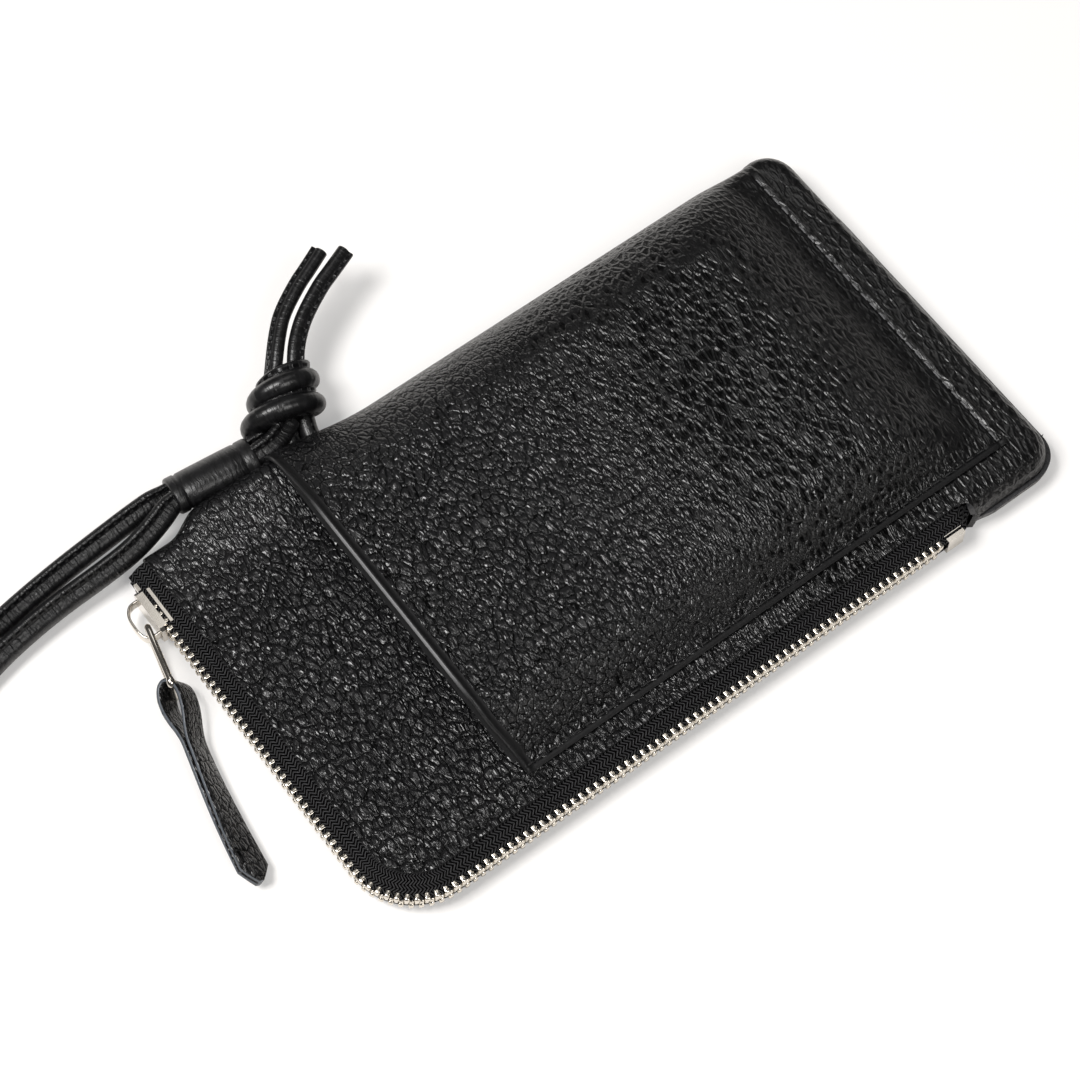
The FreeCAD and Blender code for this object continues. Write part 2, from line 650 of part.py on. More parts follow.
# Zip pull: a metal link in the crown and a leather tab on the link's foot bar
PIVOT_X = f"({FOOT} - Sizes.pivot_height)"
PIVOT_Y = f"({SLIDER_Y} - Sizes.pivot_back)"
BAR = "Sizes.link_bar"
LEG = "Sizes.link_leg"
EYE = "Sizes.eye_half"
EYE_END = f"(-{BAR} / 2 - Sizes.eye_length)"
WINDOW_TOP = f"({EYE_END} - Sizes.link_web)"
FOOT_Y = "(-Sizes.link_reach)"
FOOT_HALF = "Sizes.link_foot_half"
LINK_SHOULDER = f"({FOOT_Y} + Sizes.link_shoulder)"
LINK_OUTLINE = (
    (f"{BAR} / 2", f"-{EYE} - {LEG} + {BAR} / 2"),
    (f"{BAR} / 2", f"{EYE} + {LEG} - {BAR} / 2"),
    ("0", f"{EYE} + {LEG}"),
    (EYE_END, f"{EYE} + {LEG}"),
    (LINK_SHOULDER, FOOT_HALF),
    (f"{FOOT_Y} - {BAR} / 2", FOOT_HALF),
    (f"{FOOT_Y} - {BAR} / 2", f"-{FOOT_HALF}"),
    (LINK_SHOULDER, f"-{FOOT_HALF}"),
    (EYE_END, f"-{EYE} - {LEG}"),
    ("0", f"-{EYE} - {LEG}"),
)
EYE_OUTLINE = (
    (f"-{BAR} / 2", EYE),
    (EYE_END, EYE),
    (EYE_END, f"-{EYE}"),
    (f"-{BAR} / 2", f"-{EYE}"),
)
WINDOW_OUTLINE = (
    (WINDOW_TOP, EYE),
    (LINK_SHOULDER, f"{FOOT_HALF} - {LEG}"),
    (f"{FOOT_Y} + {BAR} / 2", f"{FOOT_HALF} - {LEG}"),
    (f"{FOOT_Y} + {BAR} / 2", f"{LEG} - {FOOT_HALF}"),
    (LINK_SHOULDER, f"{LEG} - {FOOT_HALF}"),
    (WINDOW_TOP, f"-{EYE}"),
)
pull_link = new_body("pull_link")
pad(pull_link, "link_frame", "YZ_Plane", "-Sizes.link_thick / 2", "Sizes.link_thick",
    LINK_OUTLINE, EYE_OUTLINE, WINDOW_OUTLINE)
link_turn = Rotation(Vector(0, 0, 1), -size("link_angle"))
pivot = Vector(value(PIVOT_X), value(PIVOT_Y), value(Z_MID))
pull_link.Placement = Placement(pivot, link_turn)

HOLE = "Sizes.tab_hole_half"
LAYER = "Sizes.tab_layer"
HOLE_TOP = f"({BAR} / 2 + Sizes.tab_bar_clearance)"
SHOULDER = "(-Sizes.tab_loop_run)"
JOIN = f"({SHOULDER} - Sizes.tab_taper_run)"
TIP = "(-Sizes.tab_length)"
TAB_OUTLINE = (
    (f"-{HOLE} - {LAYER}", f"{HOLE_TOP} + {LAYER}"),
    (f"-{HOLE} - {LAYER}", SHOULDER),
    (f"-{LAYER}", JOIN),
    (f"-{LAYER}", TIP),
    (LAYER, TIP),
    (LAYER, JOIN),
    (f"{HOLE} + {LAYER}", SHOULDER),
    (f"{HOLE} + {LAYER}", f"{HOLE_TOP} + {LAYER}"),
)
TAB_HOLE = (
    (f"-{HOLE}", HOLE_TOP),
    (f"-{HOLE}", SHOULDER),
    ("0", JOIN),
    (HOLE, SHOULDER),
    (HOLE, HOLE_TOP),
)
HALF_TAB = "(Sizes.tab_width / 2)"
pull_tab = new_body("pull_tab")
tab_base = pad(pull_tab, "tab_strip", "XY_Plane", f"-{HALF_TAB}", "Sizes.tab_width", TAB_OUTLINE, TAB_HOLE)
tab_base = round_edges(pull_tab, tab_base, "tab_loop_outside", f"0.9 * ({HOLE} + {LAYER})",
                       upright_at(*TAB_OUTLINE[0]), upright_at(*TAB_OUTLINE[7]))
tab_base = round_edges(pull_tab, tab_base, "tab_loop_inside", f"0.9 * {HOLE}",
                       upright_at(*TAB_HOLE[0]), upright_at(*TAB_HOLE[4]))
for corner_name, side in (("upper", ""), ("lower", "-")):
    corner = (
        (f"{TIP} - Sizes.tab_point", f"{side}{HALF_TAB}"),
        (f"{TIP} - Sizes.tab_point", "0"),
        (TIP, "0"),
        (f"{TIP} + Sizes.tab_point", f"{side}{HALF_TAB}"),
    )
    pocket(pull_tab, f"tab_point_{corner_name}", "YZ_Plane", f"3 * {LAYER}", f"6 * {LAYER}", corner)
foot_bar = pivot + link_turn.multVec(Vector(0, value(FOOT_Y), 0))
pull_tab.Placement = Placement(foot_bar, Rotation(Vector(0, 0, 1), -size("tab_angle")))
print("pull pivot", pivot, "foot bar", foot_bar)

# Strap cord, routed by hand
CORD = size("cord_diameter")


def rounded_wire(name, points):
    """Straight runs joined by tangent arcs through a cord's points."""
    edges = []
    radii = []
    start = points[0]
    for before, corner, after in zip(points, points[1:], points[2:]):
        run_in = corner - before
        run_out = after - corner
        setback = 0.45 * min(run_in.Length, run_out.Length)
        turn = run_in.getAngle(run_out)
        radius = setback / math.tan(turn / 2)
        ahead_in = run_in / run_in.Length
        ahead_out = run_out / run_out.Length
        inward = ahead_out - ahead_in
        inward.normalize()
        arc_start = corner - ahead_in * setback
        arc_middle = corner + inward * (radius / math.cos(turn / 2) - radius)
        arc_end = corner + ahead_out * setback
        edges.append(Part.LineSegment(start, arc_start).toShape())
        edges.append(Part.Arc(arc_start, arc_middle, arc_end).toShape())
        radii.append(round(radius, 1))
        start = arc_end
    edges.append(Part.LineSegment(start, points[-1]).toShape())
    print(name, "bend radii", radii)
    return Part.Wire(edges)


def cord_tube(name, wire, diameter):
    """Run a round section along a wire, and see that its volume fits its length."""
    first = wire.Edges[0]
    start = first.valueAt(first.FirstParameter)
    ahead = first.tangentAt(first.FirstParameter)
    section = Part.Wire(Part.Circle(start, ahead, diameter / 2).toShape())
    tube = wire.makePipeShell([section], True, False)
    expected = math.pi * diameter ** 2 / 4 * wire.Length
    print(name, "length", round(wire.Length, 1), "volume ratio", round(tube.Volume / expected, 4))
    return tube


def biarc_wire(points, tangents):
    """Pairs of tangent arcs through points with given unit tangents."""
    edges = []
    for start, end, ahead_in, ahead_out in zip(points, points[1:], tangents, tangents[1:]):
        chord = end - start
        both = ahead_in + ahead_out
        spread = 2 * (1 - ahead_in.dot(ahead_out))
        along = chord.dot(both)
        if spread < 1e-9:
            reach = chord.dot(chord) / (2 * along)
        else:
            reach = (-along + math.sqrt(along ** 2 + spread * chord.dot(chord))) / spread
        middle = (start + ahead_in * reach + end - ahead_out * reach) * 0.5
        edges.append(arc_from(start, ahead_in, middle))
        edges.append(arc_from(end, ahead_out * -1, middle, backwards=True))
    return edges


def arc_from(start, ahead, end, backwards=False):
    """One arc that leaves a point along a tangent and ends at another point."""
    chord = end - start
    turn = ahead.getAngle(chord)
    sideways = ahead - chord * (ahead.dot(chord) / chord.dot(chord))
    if sideways.Length < 1e-6:
        ends = (end, start) if backwards else (start, end)
        return Part.LineSegment(*ends).toShape()
    sideways.normalize()
    middle = (start + end) * 0.5 + sideways * (chord.Length / 2 * math.tan(turn / 2))
    ends = (end, start) if backwards else (start, end)
    return Part.Arc(ends[0], middle, ends[1]).toShape()


def wound_wire(place_at, whole_turn, run):
    """One unbroken wire along a winding, from biarcs of a quarter turn, with straight ends."""
    steps = math.ceil(whole_turn / (math.pi / 2))
    points = []
    tangents = []
    for index in range(steps + 1):
        turned = whole_turn * index / steps
        ahead = place_at(turned + 1e-4) - place_at(turned - 1e-4)
        ahead.normalize()
        points.append(place_at(turned))
        tangents.append(ahead)
    edges = [Part.LineSegment(points[0] - tangents[0] * run, points[0]).toShape()]
    edges.extend(biarc_wire(points, tangents))
    edges.append(Part.LineSegment(points[-1], points[-1] + tangents[-1] * run).toShape())
    ends = (points[0] - tangents[0] * run, points[-1] + tangents[-1] * run)
    return Part.Wire(edges), ends, (tangents[0], tangents[-1])


def least_gap(name, wire, diameter):
    """Measure and print how near a wound tube comes to itself."""
    points = wire.discretize(Distance=1.0)
    spacing = wire.Length / (len(points) - 1)
    apart = int(2.5 * diameter / spacing) + 1
    nearest = min(
        points[first].distanceToPoint(points[second])
        for first in range(len(points))
        for second in range(first + apart, len(points)))
    print(name, "least gap to itself", round(nearest - diameter, 2))


def strap_spot(across, along, height):
    """Give a place of the strap, measured from the pocket's mouth and the fold."""
    return Vector(value(X_MOUTH) + across, value(Y_FOLD) + along, height)


# Put-away coil: spirals in on the lower layer, climbs, and spirals out on the upper layer
COIL_CENTRE = strap_spot(-120.0, 5.5, 0.0)
coil_whole = 2 * math.pi * size("coil_turns")
coil_middle = coil_whole / 2
coil_rate = size("coil_step") / (2 * math.pi)
coil_blend = math.pi / 3
coil_inner = size("coil_radius") - coil_rate * math.hypot(coil_middle, coil_blend)
coil_low = size("tie_thick") + size("tie_clearance") + CORD / 2


def coil_radius_at(turned):
    """Radius of the coil's centre line after an angle."""
    return coil_inner + coil_rate * math.hypot(turned - coil_middle, coil_blend)


def coil_place(turned):
    """Centre line of the coil after an angle, going clockwise from its lower right."""
    angle = -math.pi / 4 - turned
    radius = coil_radius_at(turned)
    climb = min(max((turned - coil_middle) / math.pi + 0.5, 0.0), 1.0)
    lift = climb * climb * (3 - 2 * climb)
    height = coil_low + size("coil_step") * lift
    return COIL_CENTRE + Vector(radius * math.cos(angle), radius * math.sin(angle), height)


coil_wire, coil_ends, coil_tangents = wound_wire(coil_place, coil_whole, CORD)
least_gap("strap_coil", coil_wire, CORD)
strap_coil = feature_from("strap_coil", cord_tube("strap_coil", coil_wire, CORD))

# Tie: a band round all the coil's turns, on the side away from the pouch
tie_turn = 0.75 * math.pi
tie_radii = [coil_radius_at(tie_turn + 2 * math.pi * lap) for lap in range(math.ceil(size("coil_turns")))]
tie_room = CORD / 2 + size("tie_clearance")
tie_inner = min(tie_radii) - tie_room
tie_outer = max(tie_radii) + tie_room
tie_floor = coil_low - tie_room
tie_roof = coil_low + size("coil_step") + tie_room


def tie_block(grow, width):
    """Box round the coil's bundle, grown by a wall."""
    corner = COIL_CENTRE + Vector(-tie_outer - grow, -width / 2, tie_floor - grow)
    return Part.makeBox(tie_outer - tie_inner + 2 * grow, width, tie_roof - tie_floor + 2 * grow, corner)


tie_shape = tie_block(size("tie_thick"), size("tie_width")).cut(tie_block(0.0, 2 * size("tie_width")))
strap_coil_tie = feature_from("strap_coil_tie", tie_shape)

# Sleeve over both runs of the strap
SLEEVE_LEFT = strap_spot(-22.0, 8.5, 8.5)
SLEEVE_RIGHT = strap_spot(-1.0, 6.4, 8.5)
sleeve_axis = SLEEVE_RIGHT - SLEEVE_LEFT
sleeve_axis.normalize()
level_across = Vector(0, 0, 1).cross(sleeve_axis)
stack = level_across * 0.81 - Vector(0, 0, 1) * 0.586
stack.normalize()
beside = (CORD + size("cord_gap")) / 2


def sleeve_block(grow, start, end):
    """Flat-sided oval solid round both cords between two places."""
    half = beside
    radius = CORD / 2 + size("sleeve_clearance") + grow
    face_on = sleeve_axis.cross(stack)
    corners = [start + stack * along + face_on * across
               for along, across in ((half, radius), (-half, radius), (-half, -radius), (half, -radius))]
    outline = Part.Wire([
        Part.LineSegment(corners[0], corners[1]).toShape(),
        Part.Arc(corners[1], start - stack * (half + radius), corners[2]).toShape(),
        Part.LineSegment(corners[2], corners[3]).toShape(),
        Part.Arc(corners[3], start + stack * (half + radius), corners[0]).toShape(),
    ])
    return Part.Face(outline).extrude(end - start)


sleeve_shape = sleeve_block(size("sleeve_wall"), SLEEVE_LEFT, SLEEVE_RIGHT).cut(
    sleeve_block(0.0, SLEEVE_LEFT - sleeve_axis * CORD, SLEEVE_RIGHT + sleeve_axis * CORD))
strap_sleeve = feature_from("strap_sleeve", sleeve_shape)

# The two runs of the strap, from beside the knot through the sleeve to the coil
STRAND_START = SLEEVE_RIGHT + sleeve_axis * 5.2
STRAND_STRAIGHT = SLEEVE_LEFT - sleeve_axis * 8.4
strand_a_points = [
    STRAND_START + stack * beside,
    STRAND_STRAIGHT + stack * beside,
    strap_spot(-43.5, 14.7, 6.2),
    strap_spot(-58.5, 13.7, 4.8),
    coil_ends[1] + coil_tangents[1] * 22.0,
    coil_ends[1],
]
strand_b_points = [
    STRAND_START - stack * beside,
    STRAND_STRAIGHT - stack * beside,
    strap_spot(-45.7, 6.6, 7.0),
    strap_spot(-59.3, 4.6, 5.4),
    coil_ends[0] - coil_tangents[0] * 17.5,
    coil_ends[0],
]
strap_strand_a = feature_from(
    "strap_strand_a", cord_tube("strap_strand_a", rounded_wire("strap_strand_a", strand_a_points), CORD))
strap_strand_b = feature_from(
    "strap_strand_b", cord_tube("strap_strand_b", rounded_wire("strap_strand_b", strand_b_points), CORD))

# Knot: a plain core for the cords that cross inside it, and the wraps round it
KNOT = strap_spot(13.5, 14.5, 10.0)
knot_axis = Vector(0.55, 0.82, 0.16)
knot_axis.normalize()
knot_across = Vector(0, 0, 1).cross(knot_axis)
knot_across.normalize()
knot_face = knot_axis.cross(knot_across)
CORE_BELOW = 8.0
CORE_ABOVE = 7.5
strap_knot_core = DOC.addObject("Part::Cylinder", "strap_knot_core")
strap_knot_core.Label = "strap_knot_core"
strap_knot_core.setExpression("Radius", "Sizes.knot_core_radius")
strap_knot_core.Height = CORE_BELOW + CORE_ABOVE
strap_knot_core.Placement = Placement(KNOT - knot_axis * CORE_BELOW, Rotation(Vector(0, 0, 1), knot_axis))
wrap_radius = size("knot_core_radius") + size("knot_gap") + CORD / 2
wrap_whole = 2 * math.pi * size("knot_turns")


def wrap_place(turned):
    """Centre line of the knot's wraps after an angle."""
    angle = math.radians(-160) + turned
    along = size("knot_pitch") * (turned - wrap_whole / 2) / (2 * math.pi)
    return (KNOT + knot_axis * along + knot_across * (wrap_radius * math.cos(angle))
            + knot_face * (wrap_radius * math.sin(angle)))


knot_wire, _, _ = wound_wire(wrap_place, wrap_whole, CORD)
least_gap("strap_knot", knot_wire, CORD)
strap_knot = feature_from("strap_knot", cord_tube("strap_knot", knot_wire, CORD))

# Tails: the strap's two cut ends above the knot
tail_start = KNOT + knot_axis * (CORE_ABOVE + size("cord_gap"))
tail_beside = knot_across * beside
tail_a_points = [
    tail_start + tail_beside,
    tail_start + tail_beside * 1.1 + knot_axis * 8.0,
    strap_spot(28.8, 35.3, 14.2),
    strap_spot(41.4, 39.1, 15.0),
]
tail_b_points = [
    tail_start - tail_beside,
    tail_start - tail_beside * 1.1 + knot_axis * 8.0,
    strap_spot(35.0, 30.3, 14.4),
    strap_spot(46.4, 35.3, 15.0),
]
strap_tail_a = feature_from(
    "strap_tail_a", cord_tube("strap_tail_a", rounded_wire("strap_tail_a", tail_a_points), CORD))
strap_tail_b = feature_from(
    "strap_tail_b", cord_tube("strap_tail_b", rounded_wire("strap_tail_b", tail_b_points), CORD))

# Anchor: the two legs of the cord loop that is sewn into the fold under the knot
anchor_wall = value(Y_FOLD) + size("leather_thick")
anchor_legs = []
for side in (-1, 1):
    foot = Vector(KNOT.x - 2.0 + side * size("anchor_spacing") / 2, anchor_wall, size("anchor_height"))
    anchor_legs.append(Part.makeCylinder(CORD / 2, size("anchor_length"), foot, Vector(0, 1, 0)))
strap_anchor = feature_from("strap_anchor", Part.makeCompound(anchor_legs))

# Lines of thread on the leather
STITCH = (size("stitch_length"), size("stitch_width"), size("stitch_height"))


def stitch_line(name, places):
    """Small bars of thread, lying at places with headings."""
    length, width, height = STITCH
    solids = []
    for place, heading in places:
        bar = Part.makeBox(length, width, height, Vector(-length / 2, -width / 2, 0))
        bar.Placement = Placement(place, Rotation(Vector(0, 0, 1), heading))
        solids.append(bar)
    return feature_from(name, Part.makeCompound(solids))


def even_places(start, end):
    """Places a stitch pitch apart along a straight seam."""
    run = end - start
    count = int(run.Length / size("stitch_pitch"))
    heading = math.degrees(math.atan2(run.y, run.x))
    return [(start + run * ((index + 0.5) / count), heading) for index in range(count)]


shelf = value(Z_SHELF)
end_seam = value(X_POCKET_END) - size("stitch_inset")
side_seam = value(Y_SIDE) + size("side_stitch_inset")
stitch_pocket_end = stitch_line("stitch_pocket_end", even_places(
    Vector(end_seam, side_seam, shelf), Vector(end_seam, value(Y_FOLD) - 4 * size("leather_thick"), shelf)))
stitch_pocket_side = stitch_line("stitch_pocket_side", even_places(
    Vector(value(X_MOUTH) + size("stitch_inset"), side_seam, shelf),
    Vector(end_seam - size("stitch_pitch"), side_seam, shelf)))
zip_inset = size("tape_show") + size("stitch_inset")
zip_seam_start = value(Y_FOLD) - size("edge_roll") - size("stitch_pitch")
zip_seam = l_length(zip_seam_start, value(X_NOTCH), zip_inset)
zip_places = []
for index in range(int(zip_seam / size("stitch_pitch"))):
    place, heading = l_path((index + 0.5) * size("stitch_pitch"), zip_seam_start, zip_inset)
    zip_places.append((Vector(place.x, place.y, value(Z_TOP)), heading))
stitch_zip = stitch_line("stitch_zip", zip_places)

# Check and write every sub-part
NODES = (
    front_panel, back_panel, phone_pocket, front_lining, back_lining, pocket_lining, zip_tape_front,
    zip_tape_back, zip_teeth_front, zip_teeth_back, zip_top_stops, zip_bottom_stop, slider_body, slider_crown,
    pull_link, pull_tab, strap_anchor, strap_strand_a, strap_strand_b, strap_sleeve, strap_knot,
    strap_knot_core, strap_tail_a, strap_tail_b, strap_coil, strap_coil_tie, stitch_pocket_end,
    stitch_pocket_side, stitch_zip,
)
DOC.recompute()
for item in DOC.Objects:
    if "Invalid" in item.State or "Error" in item.State:
        raise ValueError(f"{item.Name} is not built")
os.makedirs("parts", exist_ok=True)
for node in NODES:
    if node.Shape.isNull() or not node.Shape.isValid():
        raise ValueError(f"{node.Label} has no valid shape")
    node.Shape.exportStep(f"parts/{node.Label}.step")
    box = node.Shape.BoundBox
    print(node.Label, len(node.Shape.Solids), "solids", round(node.Shape.Volume, 1), "mm3",
          [round(edge, 2) for edge in (box.XMin, box.XMax, box.YMin, box.YMax, box.ZMin, box.ZMax)])
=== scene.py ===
"""Looks of the phone pouch: leather, zip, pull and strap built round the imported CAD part.

Lengths are millimetres inside the classes and turn into metres where a mesh is made.
"""

import logging
import math
from dataclasses import dataclass
from enum import Enum
from typing import Any, Dict, List, Optional, Sequence, Tuple, Union

import bmesh
import bpy
import numpy as np
from mathutils import Matrix, Vector, noise


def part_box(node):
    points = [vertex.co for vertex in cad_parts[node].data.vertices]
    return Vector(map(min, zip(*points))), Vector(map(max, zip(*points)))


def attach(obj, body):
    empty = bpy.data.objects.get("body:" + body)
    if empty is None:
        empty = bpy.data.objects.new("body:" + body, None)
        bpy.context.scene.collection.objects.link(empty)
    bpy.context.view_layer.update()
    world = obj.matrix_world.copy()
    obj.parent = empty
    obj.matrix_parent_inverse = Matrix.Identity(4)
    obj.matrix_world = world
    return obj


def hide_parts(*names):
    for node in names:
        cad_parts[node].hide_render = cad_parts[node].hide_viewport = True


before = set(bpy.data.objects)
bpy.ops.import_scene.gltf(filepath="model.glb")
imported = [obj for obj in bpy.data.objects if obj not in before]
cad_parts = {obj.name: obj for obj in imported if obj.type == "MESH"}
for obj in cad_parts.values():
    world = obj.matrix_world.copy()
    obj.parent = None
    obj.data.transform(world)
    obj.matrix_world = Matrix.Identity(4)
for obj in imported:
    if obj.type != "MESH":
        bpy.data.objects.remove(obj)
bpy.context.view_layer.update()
LOG = logging.getLogger("phone_pouch")
MM = 0.001
Colour = Tuple[float, float, float]
Point = Tuple[float, float, float]
Route = List[Point]
Span = Tuple[float, float]
UP = np.array([0.0, 0.0, 1.0])
WHITE = (1.0, 1.0, 1.0, 1.0)


class BodyName(Enum):
    """The CAD bodies that pieces ride on."""

    POUCH = "pouch"
    SLIDER = "slider"
    LINK = "link"
    TAB = "tab"


class Slot(Enum):
    """The record's material slots."""

    LEATHER = "leather"
    STRAP = "strap_leather"
    LINING = "lining"
    TAPE = "tape"
    METAL = "zip_metal"
    PALE_THREAD = "pale_thread"
    DARK_THREAD = "dark_thread"


class Wire:
    """One output of a shader node, which can stand in a sum."""

    def __init__(self, graph: "Graph", socket: bpy.types.NodeSocket) -> None:
        """Keep the socket and the graph that it belongs to."""
        self.graph = graph
        self.socket = socket

    def __add__(self, other: "Number") -> "Wire":
        """Add a value or another wire."""
        return self.graph.sum("ADD", self, other)

    def __radd__(self, other: "Number") -> "Wire":
        """Add this wire to a value."""
        return self.graph.sum("ADD", other, self)

    def __sub__(self, other: "Number") -> "Wire":
        """Take a value away."""
        return self.graph.sum("SUBTRACT", self, other)

    def __rsub__(self, other: "Number") -> "Wire":
        """Take this wire away from a value."""
        return self.graph.sum("SUBTRACT", other, self)

    def __mul__(self, other: "Number") -> "Wire":
        """Multiply by a value."""
        return self.graph.sum("MULTIPLY", self, other)

    def __rmul__(self, other: "Number") -> "Wire":
        """Multiply a value by this wire."""
        return self.graph.sum("MULTIPLY", other, self)

    def __truediv__(self, other: "Number") -> "Wire":
        """Divide by a value."""
        return self.graph.sum("DIVIDE", self, other)

    def __abs__(self) -> "Wire":
        """Drop the sign."""
        return self.graph.sum("ABSOLUTE", self, 0.0)

    def fraction(self) -> "Wire":
        """Keep what follows the decimal point."""
        return self.graph.sum("FRACT", self, 0.0)

    def sine(self) -> "Wire":
        """Take the sine."""
        return self.graph.sum("SINE", self, 0.0)


Number = Union[float, Wire]


class Graph:
    """The nodes of one material, or of the world."""

    def __init__(self, name: str, world: Optional[bpy.types.World] = None) -> None:
        """Start with no nodes.

        Args:
            name: Name of a new material.
            world: World that takes the nodes instead.
        """
        self.material = world or bpy.data.materials.new(name)
        self.material.use_nodes = True
        self.tree = self.material.node_tree
        self.tree.nodes.clear()

    def node(self, kind: str, settings: Dict[str, Any], inputs: Dict[Any, Any]) -> bpy.types.Node:
        """Make any node.

        Args:
            kind: Type of the node.
            settings: Its settings, set first.
            inputs: Values or wires for its sockets, by name or number.

        Returns:
            The new node.
        """
        made = self.tree.nodes.new(kind)
        for name, setting in settings.items():
            setattr(made, name, setting)
        for key, given in inputs.items():
            if isinstance(given, Wire):
                self.tree.links.new(given.socket, made.inputs[key])
            else:
                made.inputs[key].default_value = given
        return made

    def wire(self, node: bpy.types.Node, output: Any = 0) -> Wire:
        """Give one output of a node as a wire."""
        return Wire(self, node.outputs[output])

    def sum(self, operation: str, first: Number, second: Number) -> Wire:
        """Add a Math node for two values."""
        return self.wire(self.node("ShaderNodeMath", {"operation": operation}, {0: first, 1: second}))

    def vector(self, operation: str, first: Any, second: Any, key: Any = 1) -> Wire:
        """Add a Vector Math node for two values."""
        inputs = {0: first, key: second}
        return self.wire(self.node("ShaderNodeVectorMath", {"operation": operation}, inputs))

    def parts(self, place: Wire) -> Tuple[Wire, Wire]:
        """Give the first two parts of a vector."""
        split = self.node("ShaderNodeSeparateXYZ", {}, {0: place})
        return self.wire(split, 0), self.wire(split, 1)

    def place(self, squeeze: Colour = (1.0, 1.0, 1.0), turn: float = 0.0) -> Wire:
        """Give the place on the object in millimetres, stretched along each axis.

        Args:
            squeeze: Factors for X, Y and Z.
            turn: Angle in degrees to turn it about Z first.

        Returns:
            The place as a vector wire.
        """
        here = self.wire(self.node("ShaderNodeTexCoord", {}, {}), "Object")
        if turn:
            inputs = {"Vector": here, "Angle": math.radians(turn)}
            here = self.wire(self.node("ShaderNodeVectorRotate", {"rotation_type": "Z_AXIS"}, inputs))
        return self.vector("MULTIPLY", here, tuple(part / MM for part in squeeze))

    def along(self) -> Tuple[Wire, Wire]:
        """Give the two map coordinates, the first along a piece and the second across it."""
        return self.parts(self.wire(self.node("ShaderNodeUVMap", {"uv_map": "Run"}, {})))

    def shift(self, place: Wire, by: Wire, amount: float) -> Wire:
        """Move a place by a colour's swing round its middle.

        Args:
            place: The place to move.
            by: A colour from a noise.
            amount: How far to move, in millimetres.

        Returns:
            The moved place.
        """
        swing = self.vector("SUBTRACT", by, (0.5, 0.5, 0.5))
        return self.vector("ADD", place, self.vector("SCALE", swing, amount, "Scale"))

    def noise(self, place: Wire, length: float, detail: float = 2.0, output: str = "Fac") -> Wire:
        """Add a noise whose swings are about as long as given."""
        inputs = {"Vector": place, "Scale": 1.0 / length, "Detail": detail}
        return self.wire(self.node("ShaderNodeTexNoise", {}, inputs), output)

    def cells(self, place: Wire, width: float, mixed: float = 1.0) -> Wire:
        """Add a cell pattern, more or less mixed up, and give the distance to the cells' edges."""
        settings = {"feature": "DISTANCE_TO_EDGE"}
        inputs = {"Vector": place, "Scale": 1.0 / width, "Randomness": mixed}
        return self.wire(self.node("ShaderNodeTexVoronoi", settings, inputs), "Distance")

    def ramp(self, given: Number, low: float, high: float, start: float = 0.0, end: float = 1.0) -> Wire:
        """Turn a span of values smoothly into another span."""
        inputs = {0: given, 1: low, 2: high, 3: start, 4: end}
        return self.wire(self.node("ShaderNodeMapRange", {"interpolation_type": "SMOOTHSTEP"}, inputs))

    def blend(self, share: Number, first: Any, second: Any) -> Wire:
        """Mix two colours."""
        inputs = {0: share, 6: opaque(first), 7: opaque(second)}
        return self.wire(self.node("ShaderNodeMix", {"data_type": "RGBA"}, inputs), 2)

    def bump(self, height: Wire, depth: float) -> Wire:
        """Turn a height into a normal, for a relief of a depth in millimetres."""
        return self.wire(self.node("ShaderNodeBump", {}, {"Height": height, "Distance": depth * MM}))

    def shader(self, kind: str, inputs: Dict[str, Any]) -> Wire:
        """Add a shader of a kind."""
        return self.wire(self.node("ShaderNode" + kind, {}, inputs))

    def mixed(self, share: Number, first: Wire, second: Wire) -> Wire:
        """Mix two shaders."""
        return self.shader("MixShader", {0: share, 1: first, 2: second})

    def seen(self) -> Wire:
        """Give 1 where the camera looks straight at a surface."""
        return self.wire(self.node("ShaderNodeLightPath", {}, {}), "Is Camera Ray")

    def finish(self, shader: Wire, kind: str = "Material") -> bpy.types.Material:
        """Put a shader on the material, or on the world."""
        self.node("ShaderNodeOutput" + kind, {}, {"Surface": shader})
        return self.material

    def surface(self, inputs: Dict[str, Any]) -> bpy.types.Material:
        """Finish with a surface shader."""
        return self.finish(self.shader("BsdfPrincipled", inputs))

    def creased(self, inputs: Dict[str, Any], hidden: Number, dark: Colour) -> bpy.types.Material:
        """Finish with a surface shader that turns matt and dark by a share: painted shade in creases and
        gaps, and dark thread on a stitched cord.

        Args:
            inputs: Values or wires for the surface's sockets.
            hidden: Share of the matt dark shader, 1 at the bottom of a crease as painted shade and on a
                stitch, 0 elsewhere.
            dark: Colour of the painted crease shade, and of the thread on a stitched cord.

        Returns:
            The finished material.
        """
        crease = self.shader("BsdfDiffuse", {"Color": opaque(dark), "Roughness": 1.0})
        return self.finish(self.mixed(hidden, self.shader("BsdfPrincipled", inputs), crease))


def opaque(colour: Any) -> Any:
    """Add full alpha to a plain colour, and leave a wire as it is."""
    return colour if isinstance(colour, Wire) else (*colour, 1.0)


def dimmed(colour: Colour, share: float) -> Colour:
    """Give a darker form of a colour."""
    return tuple(share * part for part in colour)


